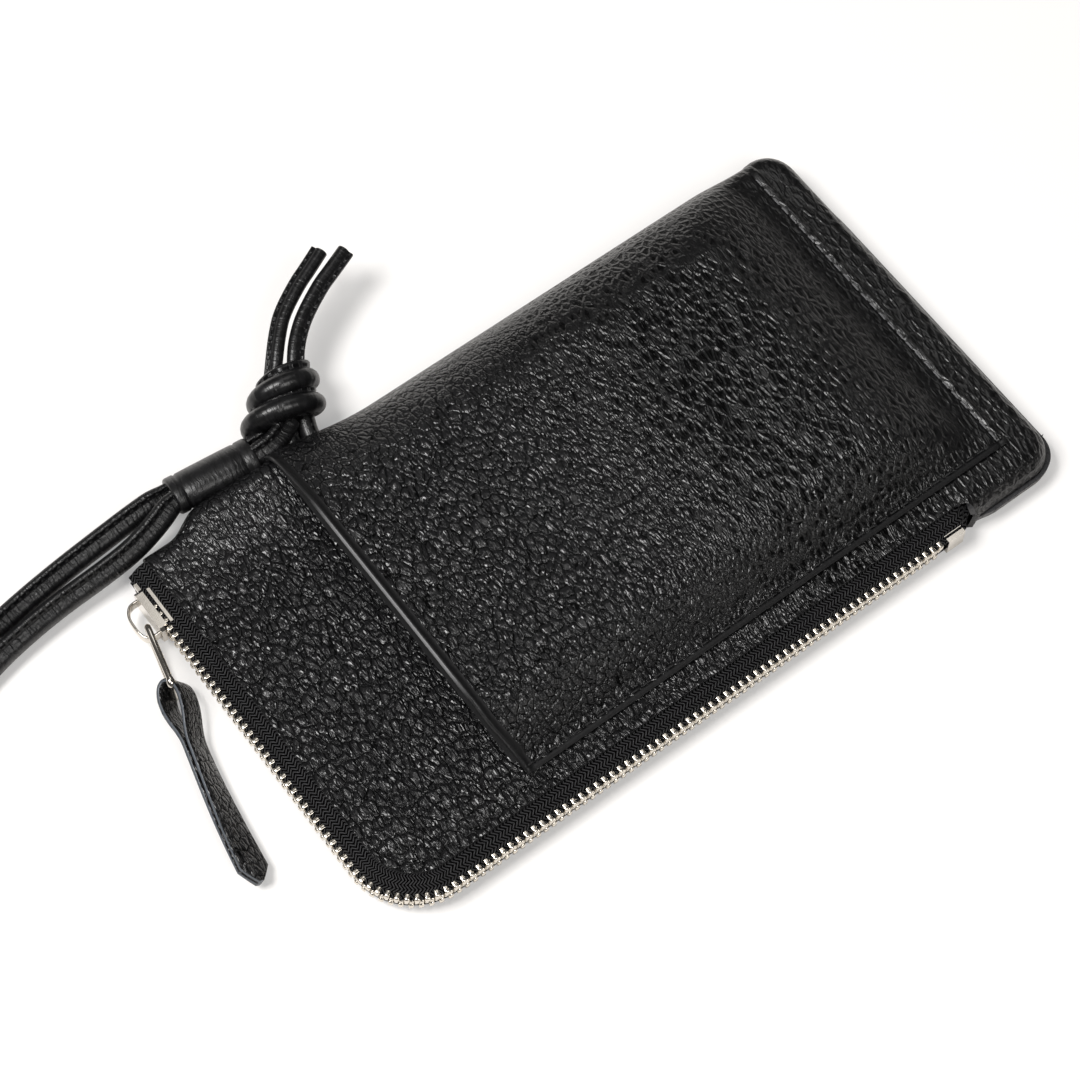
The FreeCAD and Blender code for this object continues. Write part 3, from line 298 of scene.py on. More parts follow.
@dataclass(frozen=True)
class PebbledLeather:
    """Black leather with a pebbled grain, slack at the zip's short edge and taut over the pocket, with
    painted shade in its grooves and a lighter slack part that is partly painted light.
    """

    name: str
    colour: Colour = (0.0032, 0.0032, 0.0036)
    # Lighter colour of the slack front part: partly greyer crinkled leather, partly painted light that
    # brightens that part.
    slack_grey_and_light: Colour = (0.011, 0.011, 0.0118)
    # Colour of the painted shade at the bottom of the grooves.
    groove: Colour = (0.0012, 0.0012, 0.0013)
    cell: float = 1.75
    lie: float = 5.0
    depth: float = 0.40
    roughness: float = 0.30
    taut_from: Span = (-25.0, 40.0)
    end_fade: Span = (46.0, 76.0)
    fold_fade: Span = (26.0, 46.0)

    def material(self) -> bpy.types.Material:
        """Build the finish."""
        graph = Graph(self.name)
        across, along = graph.parts(graph.place())
        taut = graph.ramp(across, *self.taut_from)
        slack = 1.0 - taut
        relief = graph.ramp(across, *self.end_fade, 1.0, 0.45) * graph.ramp(along, *self.fold_fade, 1.0, 0.6)
        place = graph.place((1.0, 0.5, 1.0), self.lie)
        drift = graph.noise(place, 3.0, 2.0, "Color")
        edge = graph.cells(graph.shift(place, drift, 0.7), self.cell, 0.78)
        round_place = graph.place((1.0, 0.6, 1.0), self.lie - 6.0)
        seam = graph.cells(graph.shift(round_place, drift, 1.2), self.cell * 1.1, 0.85)
        fine_place = graph.shift(graph.place((1.0, 0.3, 1.0), self.lie), drift, 0.8)
        strokes = graph.ramp(graph.cells(fine_place, self.cell * 0.36), 0.0, 0.4)
        crest = graph.ramp(edge, 0.0, 0.3, 1.0, 0.0)
        pebble = graph.ramp(seam, 0.0, 0.25)
        height = (crest * taut * 0.8 + pebble * slack * 0.8 + strokes * (slack * 0.14 + 0.28)) * relief
        # Painted shade: the grooves between the pebbles turn dark and matt, standing in for the shade that
        # falls in them.
        open_part = graph.ramp(edge, 0.10, 0.35, 1.0, 0.0) * taut + graph.ramp(seam, 0.0, 0.08) * slack
        unshaded = open_part * 0.7 + strokes * 0.3
        hidden = graph.ramp(unshaded, 0.05, 0.7, 0.92, 0.0) * relief
        # The slack front part takes the lighter colour, which is partly painted light.
        colour = graph.blend(taut, self.slack_grey_and_light, self.colour)
        return graph.creased({
            "Base Color": graph.blend(unshaded, self.groove, colour),
            "Roughness": graph.noise(place, 7.0, 2.0) * 0.10 - slack * 0.05 + (self.roughness - 0.05),
            "IOR": 1.5,
            "Normal": graph.bump(height, self.depth),
        }, hidden, self.groove)


@dataclass(frozen=True)
class RolledLeather:
    """Smooth strap leather with fine wrinkles across, painted shade in their troughs, and a sewn edge."""

    name: str
    roughness: float = 0.36
    wrinkled: float = 0.55
    stitched: bool = True
    colour: Colour = (0.007, 0.007, 0.0078)
    # Colour of the painted shade in the wrinkles' troughs, and of the stitches' thread.
    dark: Colour = (0.003, 0.003, 0.0033)
    seam: float = 1.15
    pitch: float = 2.3
    depth: float = 0.22

    def material(self) -> bpy.types.Material:
        """Build the finish."""
        graph = Graph(self.name)
        along, across = graph.along()
        place = graph.place()
        wobble = graph.noise(place, 2.2, 2.0)
        stretched = {0: along * 1.25 + wobble * 1.5, 1: across * 0.16, 2: 0.0}
        wrinkle_place = graph.wire(graph.node("ShaderNodeCombineXYZ", {}, stretched))
        wrinkles = graph.ramp(graph.noise(wrinkle_place, 1.0, 2.0), 0.38, 0.66)
        grain = graph.noise(place, 0.35, 3.0)
        height = wrinkles * self.wrinkled + grain * 0.4 * self.wrinkled
        thread: Number = 0.0
        if self.stitched:
            beside = graph.ramp(abs(across - self.seam), 0.12, 0.42, 1.0, 0.0)
            dash = graph.ramp(abs((along / self.pitch).fraction() - 0.5), 0.26, 0.36, 1.0, 0.0)
            height = height - beside * 0.5 + beside * dash * 0.5
            thread = beside * dash * 0.85
        return graph.creased({
            # Painted shade: the wrinkles' troughs take the dark colour.
            "Base Color": graph.blend(wrinkles, self.dark, self.colour),
            "Roughness": grain * 0.12 + (self.roughness - 0.06),
            "IOR": 1.5,
            "Normal": graph.bump(height, self.depth),
        }, thread, self.dark)


@dataclass(frozen=True)
class PaintedEdge:
    """Sealed cut edge of leather, pale all along, or pale only in a span along Y where the pale colour is a
    painted highlight with dark beyond it.
    """

    name: str
    colour: Colour
    roughness: float = 0.32
    shine: float = 0.5
    # Span along Y of a pale painted highlight, and the dark colour beyond it.
    highlight_span: Optional[Span] = None
    unhighlit_colour: Colour = (0.012, 0.012, 0.0125)

    def material(self) -> bpy.types.Material:
        """Build the finish."""
        graph = Graph(self.name)
        ripple = graph.noise(graph.place(), 1.1, 3.0)
        colour = graph.blend(ripple, dimmed(self.colour, 0.7), self.colour)
        # Painted highlight: the pale colour holds only inside the span and fades to the dark colour at both
        # ends.
        if self.highlight_span:
            low, high = self.highlight_span
            _, along = graph.parts(graph.place())
            begun = graph.ramp(along, low - 7.0, low + 5.0)
            pale = begun * graph.ramp(along, high - 5.0, high + 9.0, 1.0, 0.0)
            colour = graph.blend(pale, self.unhighlit_colour, colour)
        return graph.surface({
            "Base Color": colour,
            "Roughness": ripple * 0.2 + (self.roughness - 0.1),
            "Specular IOR Level": self.shine,
            "Normal": graph.bump(ripple, 0.1),
        })


@dataclass(frozen=True)
class WovenTape:
    """Zip tape with a herringbone weave and painted shade between its threads."""

    name: str
    colour: Colour = (0.013, 0.013, 0.0145)
    # Colour of the painted shade between the threads.
    gap: Colour = (0.0008, 0.0008, 0.0009)
    rib: float = 1.0
    thread: float = 0.88
    depth: float = 0.3

    def material(self) -> bpy.types.Material:
        """Build the finish."""
        graph = Graph(self.name)
        along, across = graph.along()
        fold = abs((across / (2 * self.rib)).fraction() - 0.5)
        loose = graph.noise(graph.place(), 0.7, 2.0) * 0.3
        slant = ((along + fold * 2 * self.rib + loose) / self.thread).fraction()
        ridge = graph.ramp(abs(slant - 0.5), 0.08, 0.46, 1.0, 0.0)
        fluff = graph.noise(graph.place(), 0.2, 3.0)
        fold_gap = graph.ramp(abs(fold - 0.25), 0.19, 0.25)
        # Painted shade: between the woven threads the tape turns dark and matt, in its colour and in the
        # shader mix.
        hidden = graph.ramp(ridge - fold_gap * 0.6, 0.05, 0.75, 1.0, 0.0)
        return graph.creased({
            "Base Color": graph.blend(ridge, self.gap, self.colour),
            "Roughness": fluff * 0.2 + 0.5,
            "Normal": graph.bump(ridge * 0.8 + fluff * 0.4, self.depth),
        }, hidden, self.gap)


@dataclass(frozen=True)
class NickelPlate:
    """Bright plated metal."""

    name: str
    colour: Colour = (0.70, 0.66, 0.60)
    roughness: float = 0.2

    def material(self) -> bpy.types.Material:
        """Build the finish."""
        graph = Graph(self.name)
        place = graph.place()
        cloud = graph.noise(place, 1.6, 3.0)
        scuff = graph.noise(place, 0.9, 2.0)
        return graph.surface({
            "Base Color": graph.blend(cloud, dimmed(self.colour, 0.8), self.colour),
            "Metallic": 1.0,
            "Roughness": cloud * 0.14 + (self.roughness - 0.07),
            "Normal": graph.bump(scuff, 0.002),
        })


@dataclass(frozen=True)
class WaxedThread:
    """Twisted sewing thread."""

    name: str
    colour: Colour
    twist: float = 0.42

    def material(self) -> bpy.types.Material:
        """Build the finish."""
        graph = Graph(self.name)
        along, across = graph.along()
        turn = ((along + across * 0.5) / self.twist).fraction()
        ply = graph.ramp(abs(turn - 0.5), 0.1, 0.5, 1.0, 0.0)
        # Painted shade: the grooves between the plies are darker.
        return graph.surface({
            "Base Color": graph.blend(ply, dimmed(self.colour, 0.5), self.colour),
            "Roughness": 0.62,
            "Normal": graph.bump(ply, 0.08),
        })


@dataclass(frozen=True)
class LiningCloth:
    """Plain woven lining."""

    name: str
    colour: Colour = (0.028, 0.028, 0.031)
    thread: float = 0.5

    def material(self) -> bpy.types.Material:
        """Build the finish."""
        graph = Graph(self.name)
        wave = 2 * math.pi / self.thread
        across, along = graph.parts(graph.place())
        weave = (across * wave).sine() * (along * wave).sine() * 0.5 + 0.5
        # Painted shade: the cloth darkens where the weave dips.
        return graph.surface({
            "Base Color": graph.blend(weave, dimmed(self.colour, 0.6), self.colour),
            "Roughness": 0.85,
            "Normal": graph.bump(weave, 0.06),
        })


class Finishes:
    """Every finish of the pouch, made once."""

    def __init__(self) -> None:
        """Build the materials."""
        self.leather = PebbledLeather("pebbled_leather").material()
        self.tab_leather = PebbledLeather("tab_leather", cell=1.5, depth=0.2).material()
        self.cut_edge = PaintedEdge("black_edge", (0.04, 0.04, 0.042), 0.28).material()
        self.tab_edge = PaintedEdge("tab_edge", (0.085, 0.097, 0.115), 0.4).material()
        self.cord = RolledLeather("strap_cord").material()
        self.knot = RolledLeather("knot_cord", 0.32, 0.2).material()
        self.tail = RolledLeather("tail_cord", 0.34, 0.3).material()
        self.sleeve = RolledLeather("sleeve_leather", 0.38, 0.3, False).material()
        # Floor under the pocket: very dark matt cloth, partly the pocket's own lining, partly painted shade
        # under its lip.
        self.pocket_floor = LiningCloth("pocket_floor", (0.004, 0.004, 0.0045)).material()
        # The pocket's lip: its pale grey is a painted highlight, full between Y -19 and 29 mm and dark
        # towards both ends.
        self.lip = PaintedEdge("turned_edge", (0.26, 0.26, 0.265), 0.3, highlight_span=(-19.0, 29.0)).material()
        # Smooth dark band beside the lip and along the pocket's side, dulled by a low shine: partly smooth
        # turned leather, partly painted shade on the roll.
        self.turned_band = PaintedEdge("turned_band", (0.004, 0.004, 0.0044), 0.55, 0.3).material()
        self.tape = WovenTape("zip_tape").material()
        self.teeth = NickelPlate("zip_teeth", (0.74, 0.69, 0.61), 0.22).material()
        self.nickel = NickelPlate("bright_nickel", roughness=0.15).material()
        self.pale_thread = WaxedThread("pale_thread", (0.16, 0.16, 0.165)).material()
        self.dark_thread = WaxedThread("dark_thread", (0.004, 0.004, 0.0045)).material()
        self.lining = LiningCloth("lining_cloth").material()


Face = Tuple[int, ...]


@dataclass
class Form:
    """Points, faces and map coordinates of a mesh in the making."""

    points: np.ndarray
    faces: List[Face]
    run: Optional[np.ndarray] = None
    paint: Optional[List[int]] = None

    def piece(self, name: str, *finishes: bpy.types.Material, smooth: float = 40.0) -> bpy.types.Object:
        """Turn the form into an object.

        Args:
            name: Name of the object.
            finishes: Its materials, in the order of the paint numbers.
            smooth: Angle in degrees past which an edge stays sharp.

        Returns:
            The new object, linked into the scene.
        """
        mesh = bpy.data.meshes.new(name)
        mesh.from_pydata((np.asarray(self.points, float) * MM).tolist(), [], self.faces)
        for finish in finishes:
            mesh.materials.append(finish)
        mesh.polygons.foreach_set("use_smooth", [True] * len(mesh.polygons))
        if self.paint is not None:
            mesh.polygons.foreach_set("material_index", self.paint)
        if self.run is not None:
            layer = mesh.uv_layers.new(name="Run")
            order = np.zeros(len(mesh.loops), int)
            mesh.loops.foreach_get("vertex_index", order)
            layer.data.foreach_set("uv", np.asarray(self.run, float)[order].ravel())
        mesh.update()
        mesh.validate()
        mesh.set_sharp_from_angle(angle=math.radians(smooth))
        return linked(bpy.data.objects.new(name, mesh))


def linked(made: bpy.types.Object) -> bpy.types.Object:
    """Put an object into the scene."""
    bpy.context.scene.collection.objects.link(made)
    return made


def joined(forms: Sequence[Form]) -> Form:
    """Put several forms into one."""
    points: List[np.ndarray] = []
    faces: List[Face] = []
    runs: List[np.ndarray] = []
    start = 0
    for form in forms:
        points.append(np.asarray(form.points, float))
        faces.extend(tuple(start + index for index in face) for face in form.faces)
        runs.append(form.run if form.run is not None else np.zeros((len(form.points), 2)))
        start += len(form.points)
    return Form(np.vstack(points), faces, np.vstack(runs))


def quads(rows: int, columns: int, start: int = 0, flip: bool = False, closed: bool = False) -> List[Face]:
    """Faces of a grid of points.

    Args:
        rows: Number of rows.
        columns: Number of points in a row.
        start: Number of the first point.
        flip: Whether the faces look the other way.
        closed: Whether each row closes on itself.

    Returns:
        The faces.
    """
    faces: List[Face] = []
    for row in range(rows - 1):
        for column in range(columns if closed else columns - 1):
            following = (column + 1) % columns
            here = start + row * columns
            face = (here + column, here + following, here + columns + following, here + columns + column)
            faces.append(face[::-1] if flip else face)
    return faces


def sheet_form(outer: np.ndarray, thick: float, flip: bool = False) -> Form:
    """Give a grid of points a thickness.

    Args:
        outer: Grid of points, rows by columns by 3.
        thick: Thickness of the sheet.
        flip: Whether the outer face looks against the grid's own normal.

    Returns:
        The closed form, painted 0 outside, 1 inside and 2 on its edges.
    """
    rows, columns, _ = outer.shape
    normals = np.cross(np.gradient(outer, axis=1), np.gradient(outer, axis=0))
    normals /= np.maximum(np.linalg.norm(normals, axis=2, keepdims=True), 1e-9)
    inner = outer - normals * (thick if flip else -thick)
    points = np.vstack([outer.reshape(-1, 3), inner.reshape(-1, 3)])
    count = rows * columns
    faces = quads(rows, columns, 0, flip) + quads(rows, columns, count, not flip)
    one_side = (rows - 1) * (columns - 1)
    ring = list(range(columns))
    ring += [row * columns + columns - 1 for row in range(1, rows)]
    ring += [(rows - 1) * columns + column for column in range(columns - 2, -1, -1)]
    ring += [row * columns for row in range(rows - 2, 0, -1)]
    for here, following in zip(ring, ring[1:] + ring[:1]):
        face = (here, count + here, count + following, following)
        faces.append(face[::-1] if flip else face)
    paint = [0] * one_side + [1] * one_side + [2] * len(ring)
    return Form(points, faces, points[:, :2].copy(), paint)


def skinned(rings: np.ndarray, along: np.ndarray, round_it: np.ndarray, flip: bool = False,
            caps: bool = True, paint: Optional[Sequence[int]] = None) -> Form:
    """Put a skin over a row of closed rings.

    Args:
        rings: Their points, rings by points by 3.
        along: Map coordinate of each ring.
        round_it: Map coordinate of each point of a ring.
        flip: Whether the skin looks the other way.
        caps: Whether the two ends are closed.
        paint: Paint number of each side of a ring and of the caps, or 0 for all.

    Returns:
        The skinned form.
    """
    rows, columns, _ = rings.shape
    faces = quads(rows, columns, 0, flip, True)
    numbers = [0] * len(faces) if paint is None else list(paint[:columns]) * (rows - 1)
    if caps:
        first = tuple(range(columns))
        last = tuple((rows - 1) * columns + column for column in first)
        faces += [first, last[::-1]] if flip else [first[::-1], last]
        numbers += [0 if paint is None else paint[columns]] * 2
    run = np.stack(np.meshgrid(along, round_it, indexing="ij"), axis=2).reshape(-1, 2)
    return Form(rings.reshape(-1, 3), faces, run, numbers)


def swept_form(path: np.ndarray, side: np.ndarray, section: np.ndarray, caps: bool = True,
               scale: Optional[np.ndarray] = None) -> Form:
    """Run a closed section along a path.

    Args:
        path: Points of the path.
        side: Unit vector at each point, or one for all, that the section's first axis follows.
        section: Closed outline as pairs, first axis then second.
        caps: Whether the ends are closed.
        scale: Size of the section at each point.

    Returns:
        The swept form, its map running along the path and round the section.
    """
    ahead = directions(path)
    side = side - ahead * np.sum(side * ahead, axis=1, keepdims=True)
    side /= np.linalg.norm(side, axis=1, keepdims=True)
    other = np.cross(ahead, side)
    size = np.ones(len(path)) if scale is None else scale
    rings = path[:, None, :] + size[:, None, None] * (
        side[:, None, :] * section[None, :, 0:1] + other[:, None, :] * section[None, :, 1:2])
    return skinned(rings, distances_along(path), distances_along(section), False, caps)


def distances_along(line: np.ndarray) -> np.ndarray:
    """Give the distance of each point from a line's start, along the line."""
    return np.concatenate([[0.0], np.cumsum(np.linalg.norm(np.diff(line, axis=0), axis=1))])


def directions(line: np.ndarray) -> np.ndarray:
    """Give the unit vector along a line at each of its points."""
    ahead = np.gradient(line, axis=0)
    return ahead / np.linalg.norm(ahead, axis=1, keepdims=True)


def carried_side(path: np.ndarray, start: Sequence[float]) -> np.ndarray:
    """Carry a side vector along a path without twisting it."""
    sides = [np.asarray(start, float)]
    for direction in directions(path):
        last = sides[-1] - direction * np.dot(sides[-1], direction)
        sides.append(last / np.linalg.norm(last))
    return np.array(sides[1:])


def turned_between(path: np.ndarray, first: np.ndarray, last: np.ndarray, share: np.ndarray) -> np.ndarray:
    """Turn one set of side vectors slowly into another.

    Args:
        path: The path that they stand on.
        first: Sides that hold where the share is 0.
        last: Sides that hold where the share is 1.
        share: Share of the turn at each point.

    Returns:
        The turned side vectors.
    """
    beside = np.cross(directions(path), first)
    turn = np.arctan2(np.sum(beside * last, axis=1), np.sum(first * last, axis=1))
    turn = (np.unwrap(turn) * share)[:, None]
    return first * np.cos(turn) + beside * np.sin(turn)


def smooth_line(points: Sequence[Sequence[float]], count: int) -> np.ndarray:
    """Run a rounded line along a few corner points.

    Args:
        points: Corner points; the line starts and ends on the first and the last.
        count: Number of points on the line.

    Returns:
        Points evenly spaced along the line.
    """
    line = np.asarray(points, float)
    for _ in range(3):
        near = line[:-1] * 0.75 + line[1:] * 0.25
        far = line[:-1] * 0.25 + line[1:] * 0.75
        inner = np.stack([near, far], axis=1).reshape(-1, line.shape[1])
        line = np.vstack([line[:1], inner, line[-1:]])
    lengths = distances_along(line)
    places = np.linspace(0.0, lengths[-1], count)
    return np.stack([np.interp(places, lengths, line[:, axis]) for axis in range(line.shape[1])], axis=1)


def rounded_section(half_wide: float, half_thick: float, count: int = 20, power: float = 1.0) -> np.ndarray:
    """Give a closed rounded outline of a size, squarer for a smaller power."""
    angles = np.linspace(0.0, 2 * math.pi, count + 1)[:-1]
    wide = np.sign(np.cos(angles)) * np.abs(np.cos(angles)) ** power * half_wide
    thick = np.sign(np.sin(angles)) * np.abs(np.sin(angles)) ** power * half_thick
    return np.stack([wide, thick], axis=1)


def smooth_step(given: Any, low: float, high: float) -> np.ndarray:
    """Rise smoothly from 0 to 1 between two values."""
    share = np.clip((np.asarray(given, float) - low) / (high - low), 0.0, 1.0)
    return share * share * share * (share * (share * 6 - 15) + 10)


def soft_min(first: Any, second: Any, reach: float) -> np.ndarray:
    """Take the smaller of two heights, with a soft corner where they cross."""
    near = np.maximum(reach - np.abs(first - second), 0.0)
    return np.minimum(first, second) - near * near / (4 * reach)


def hump(given: np.ndarray, middle: float, width: float) -> np.ndarray:
    """Rise to 1 at a middle value and fall away on both sides."""
    return np.exp(-((given - middle) / width) ** 2)


def swell(points: np.ndarray, length: float, seed: float) -> np.ndarray:
    """Slow ups and downs over a grid of points, between about -1 and 1."""
    flat = points.reshape(-1, 3) / length
    values = [noise.noise(Vector((float(x), float(y), seed))) for x, y, _ in flat]
    return np.array(values).reshape(points.shape[:-1])


def soften(piece: bpy.types.Object, width: float, segments: int = 2, angle: float = 45.0) -> None:
    """Round a piece's sharp edges."""
    bevel = piece.modifiers.new("rounded", "BEVEL")
    bevel.width = width * MM
    bevel.segments = segments
    bevel.limit_method = "ANGLE"
    bevel.angle_limit = math.radians(angle)
    bevel.harden_normals = True


def settle(piece: bpy.types.Object, slot: Slot, *nodes: str,
           body: BodyName = BodyName.POUCH) -> bpy.types.Object:
    """Tie a piece to its CAD body and hide the CAD nodes it stands for.

    Args:
        piece: The finished object.
        slot: Material slot of the record; not used.
        nodes: CAD nodes that aren't shown any more.
        body: Body that it moves with.

    Returns:
        The same object.
    """
    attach(piece, body.value)
    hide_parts(*nodes)
    LOG.info("built %s with %d points", piece.name, len(piece.data.vertices))
    return piece


@dataclass(frozen=True)
class PouchSizes:
    """Outline of the pouch, as in the CAD part."""

    end_x: float = 94.0
    zip_x: float = -94.0
    fold_y: float = 52.5
    zip_y: float = -52.5
    top: float = 11.0
    leather: float = 1.3
    tape_show: float = 4.2
    zip_radius: float = 15.5
    far_radius: float = 8.0
    notch_x: float = 66.5
    notch_radius: float = 3.4
    seam_y: float = -52.1
    mouth_x: float = -54.0
    pocket_end_x: float = 85.0
    pocket_side_y: float = -43.3

    @property
    def middle(self) -> float:
        """Height of the zip's middle plane."""
        return self.top / 2

    @property
    def leather_x(self) -> float:
        """Leather's edge beside the short run of the zip."""
        return self.zip_x + self.tape_show

    @property
    def leather_y(self) -> float:
        """Leather's edge beside the long run of the zip."""
        return self.zip_y + self.tape_show

    @property
    def leather_radius(self) -> float:
        """Radius of the leather's corner inside the zip."""
        return self.zip_radius - self.tape_show


SIZES = PouchSizes()


@dataclass(frozen=True)
class ZipPath:
    """The L that the zip follows, or a line beside it."""

    start_y: float
    finish_x: float
    inset: float = 0.0

    @property
    def radius(self) -> float:
        """Corner radius of this line."""
        return SIZES.zip_radius - self.inset

    @property
    def first_run(self) -> float:
        """Length of the short edge's straight run."""
        return self.start_y - (SIZES.zip_y + self.inset + self.radius)

    @property
    def length(self) -> float:
        """Length of the whole line."""
        return (self.first_run + self.radius * math.pi / 2
                + self.finish_x - (SIZES.zip_x + self.inset + self.radius))

    def at(self, distance: float) -> Tuple[np.ndarray, np.ndarray]:
        """Give the place and the outward direction at a distance.

        Args:
            distance: Distance from the start on the short edge.

        Returns:
            A point on z = 0 and a unit vector away from the pouch.
        """
        west, south = SIZES.zip_x + self.inset, SIZES.zip_y + self.inset
        if distance <= self.first_run:
            return np.array([west, self.start_y - distance, 0.0]), np.array([-1.0, 0.0, 0.0])
        turned = (distance - self.first_run) / self.radius
        if turned <= math.pi / 2:
            outward = np.array([-math.cos(turned), -math.sin(turned), 0.0])
            return np.array([west + self.radius, south + self.radius, 0.0]) + outward * self.radius, outward
        past = distance - self.first_run - self.radius * math.pi / 2
        return np.array([west + self.radius + past, south, 0.0]), np.array([0.0, -1.0, 0.0])


def fold_fullness(across: np.ndarray) -> np.ndarray:
    """Give how full the fold is beside the strap, between 0 and 1."""
    return smooth_step(across, -84.0, -72.0) * (1 - smooth_step(across, -58.0, -24.0))


@dataclass
class LeatherBody:
    """The front and back panels, with their rolled fold and closed end."""

    finishes: Finishes
    roll: float = 4.4
    back_roll: float = 3.2
    back_spread: float = 0.9
    droop: float = 0.45
    wave: float = 0.32
    bulge: float = 3.3
    seam_in: float = 2.2
    seam_sink: float = 0.32
    strip_out: float = 1.3
    floor_from: Span = (-53.5, -40.0)
    floor_to: Span = (80.0, 50.0)

    def columns(self) -> List[Point]:
        """Give x with the lowest and highest y of each column of the panel's grid."""
        radius = SIZES.leather_radius
        notch_start = SIZES.notch_x - SIZES.notch_radius / 2
        drop = SIZES.leather_y - SIZES.seam_y
        corner = SIZES.end_x - SIZES.far_radius
        made: List[Point] = []
        for angle in np.linspace(0.0, math.pi / 2, 16)[:-1]:
            made.append((SIZES.leather_x + radius * (1 - math.cos(angle)),
                         SIZES.leather_y + radius * (1 - math.sin(angle)), SIZES.fold_y))
        for across in np.arange(SIZES.leather_x + radius, notch_start - 0.8, 1.6):
            made.append((float(across), SIZES.leather_y, SIZES.fold_y))
        for angle in np.linspace(0.0, math.pi / 2, 10):
            made.append((notch_start + SIZES.notch_radius * math.sin(angle),
                         SIZES.leather_y - drop * (1 - math.cos(angle)), SIZES.fold_y))
        for across in np.arange(notch_start + SIZES.notch_radius + 1.2, corner - 0.6, 1.5):
            made.append((float(across), SIZES.seam_y, SIZES.fold_y))
        for angle in np.linspace(0.0, math.pi / 2, 14):
            lift = SIZES.far_radius * (1 - math.cos(angle))
            place = corner + SIZES.far_radius * math.sin(angle)
            made.append((place, SIZES.seam_y + lift, SIZES.fold_y - lift))
        return made

    def grid(self) -> np.ndarray:
        """Lay the panel's points out flat, closer together along its edges."""
        rim = np.array([0.0, 0.08, 0.3, 0.7, 1.2, 1.9, 2.7, 3.6, 4.6])
        rows = []
        for across, low, high in self.columns():
            inner = np.linspace(low + rim[-1], high - rim[-1], 58)[1:-1]
            along = np.concatenate([low + rim, inner, high - rim[::-1]])
            rows.append(np.stack([np.full_like(along, across), along, np.zeros_like(along)], axis=1))
        return np.array(rows)

    def rolled_depth(self, across: np.ndarray, along: np.ndarray) -> np.ndarray:
        """Give each point's distance from the edges that roll over."""
        open_side = 12.0 * (1 - smooth_step(across, SIZES.notch_x - 1.6, SIZES.notch_x + 2.6))
        depth = np.minimum(SIZES.end_x - across, SIZES.fold_y - along)
        depth = np.minimum(depth, along - SIZES.seam_y + open_side)
        corner_x = SIZES.end_x - SIZES.far_radius
        for corner_y, way in ((SIZES.fold_y - SIZES.far_radius, 1), (SIZES.seam_y + SIZES.far_radius, -1)):
            inside = (across > corner_x) & ((along - corner_y) * way > 0)
            round_depth = SIZES.far_radius - np.hypot(across - corner_x, along - corner_y)
            depth = np.where(inside, round_depth, depth)
        return np.maximum(depth, 0.0)

    def zip_depth(self, across: np.ndarray, along: np.ndarray) -> np.ndarray:
        """Give each point's distance from the edges beside the zip."""
        past_zip = 30.0 * smooth_step(across, SIZES.notch_x - 2.0, SIZES.notch_x + 6.0)
        depth = np.minimum(across - SIZES.leather_x, along - SIZES.leather_y + past_zip)
        centre_x = SIZES.leather_x + SIZES.leather_radius
        centre_y = SIZES.leather_y + SIZES.leather_radius
        inside = (across < centre_x) & (along < centre_y)
        return np.where(inside, SIZES.leather_radius - np.hypot(across - centre_x, along - centre_y), depth)

    def front(self, flat: np.ndarray) -> None:
        """Make the front panel, with the pocket's floor on it.

        Args:
            flat: The panel's points, laid out flat.
        """
        across, along = flat[..., 0], flat[..., 1]
        share = np.clip(self.rolled_depth(across, along) / self.roll, 0.0, 1.0)
        lift = np.sqrt(1 - (1 - share) ** 2)
        from_zip = self.zip_depth(across, along)
        edge = smooth_step(from_zip, 0.0, 7.0)
        bare = 1 - smooth_step(across, SIZES.mouth_x - 2, SIZES.mouth_x + 8)
        waves = swell(flat, 17.0, 1.3) * 0.7 + swell(flat, 7.0, 4.1) * 0.4
        full = self.bulge * fold_fullness(across) * smooth_step(along, 36.0, 51.0)
        strip = smooth_step(across, SIZES.pocket_end_x - 5.0, SIZES.pocket_end_x + 1.0)
        height = SIZES.middle * (1 + lift) + 0.5 * full
        height -= self.droop * (1 - edge) * smooth_step(lift, 0.4, 1.0)
        height -= self.seam_sink * hump(from_zip, self.seam_in, 0.6) * smooth_step(lift, 0.8, 1.0)
        height += self.wave * waves * edge * share * (0.35 + 0.65 * bare)
        out = along + full + self.strip_out * strip * smooth_step(along, 38.0, 51.0)
        form = sheet_form(np.stack([across, out, height], axis=2), SIZES.leather)
        # Faces of the front panel under the pocket take the very dark pocket floor: partly the pocket's own
        # lining, partly painted shade under its lip.
        for number, face in enumerate(form.faces):
            corners = form.points[list(face), :2]
            inside = (corners > self.floor_from).all() and (corners < self.floor_to).all()
            if inside and form.paint[number] == 0:
                form.paint[number] = 3
        finishes = self.finishes
        piece = form.piece("front_leather", finishes.leather, finishes.lining, finishes.cut_edge,
                           finishes.pocket_floor)
        soften(piece, 0.28)
        settle(piece, Slot.LEATHER, "front_panel")

    def back(self, flat: np.ndarray) -> None:
        """Make the back panel.

        Args:
            flat: The panel's points, laid out flat.
        """
        across, along = flat[..., 0], flat[..., 1]
        share = np.clip(self.rolled_depth(across, along) / self.back_roll, 0.0, 1.0)
        height = SIZES.middle * (1 - np.sqrt(1 - (1 - share) ** 2))
        closed = smooth_step(across, SIZES.notch_x + 2.0, SIZES.notch_x + 8.0)
        rim = closed * (1 - smooth_step(share, 0.0, 1.0)) * (1 - smooth_step(along, 24.0, 44.0))
        spread = self.back_spread * rim
        along = along - spread * (along < -40.0)
        across = across + spread * smooth_step(across, SIZES.end_x - 9.0, SIZES.end_x)
        form = sheet_form(np.stack([across, along, height], axis=2), SIZES.leather, True)
        finishes = self.finishes
        piece = form.piece("back_leather", finishes.leather, finishes.lining, finishes.cut_edge)
        settle(piece, Slot.LEATHER, "back_panel")

    def build(self) -> None:
        """Make both panels."""
        flat = self.grid()
        self.front(flat)
        self.back(flat)


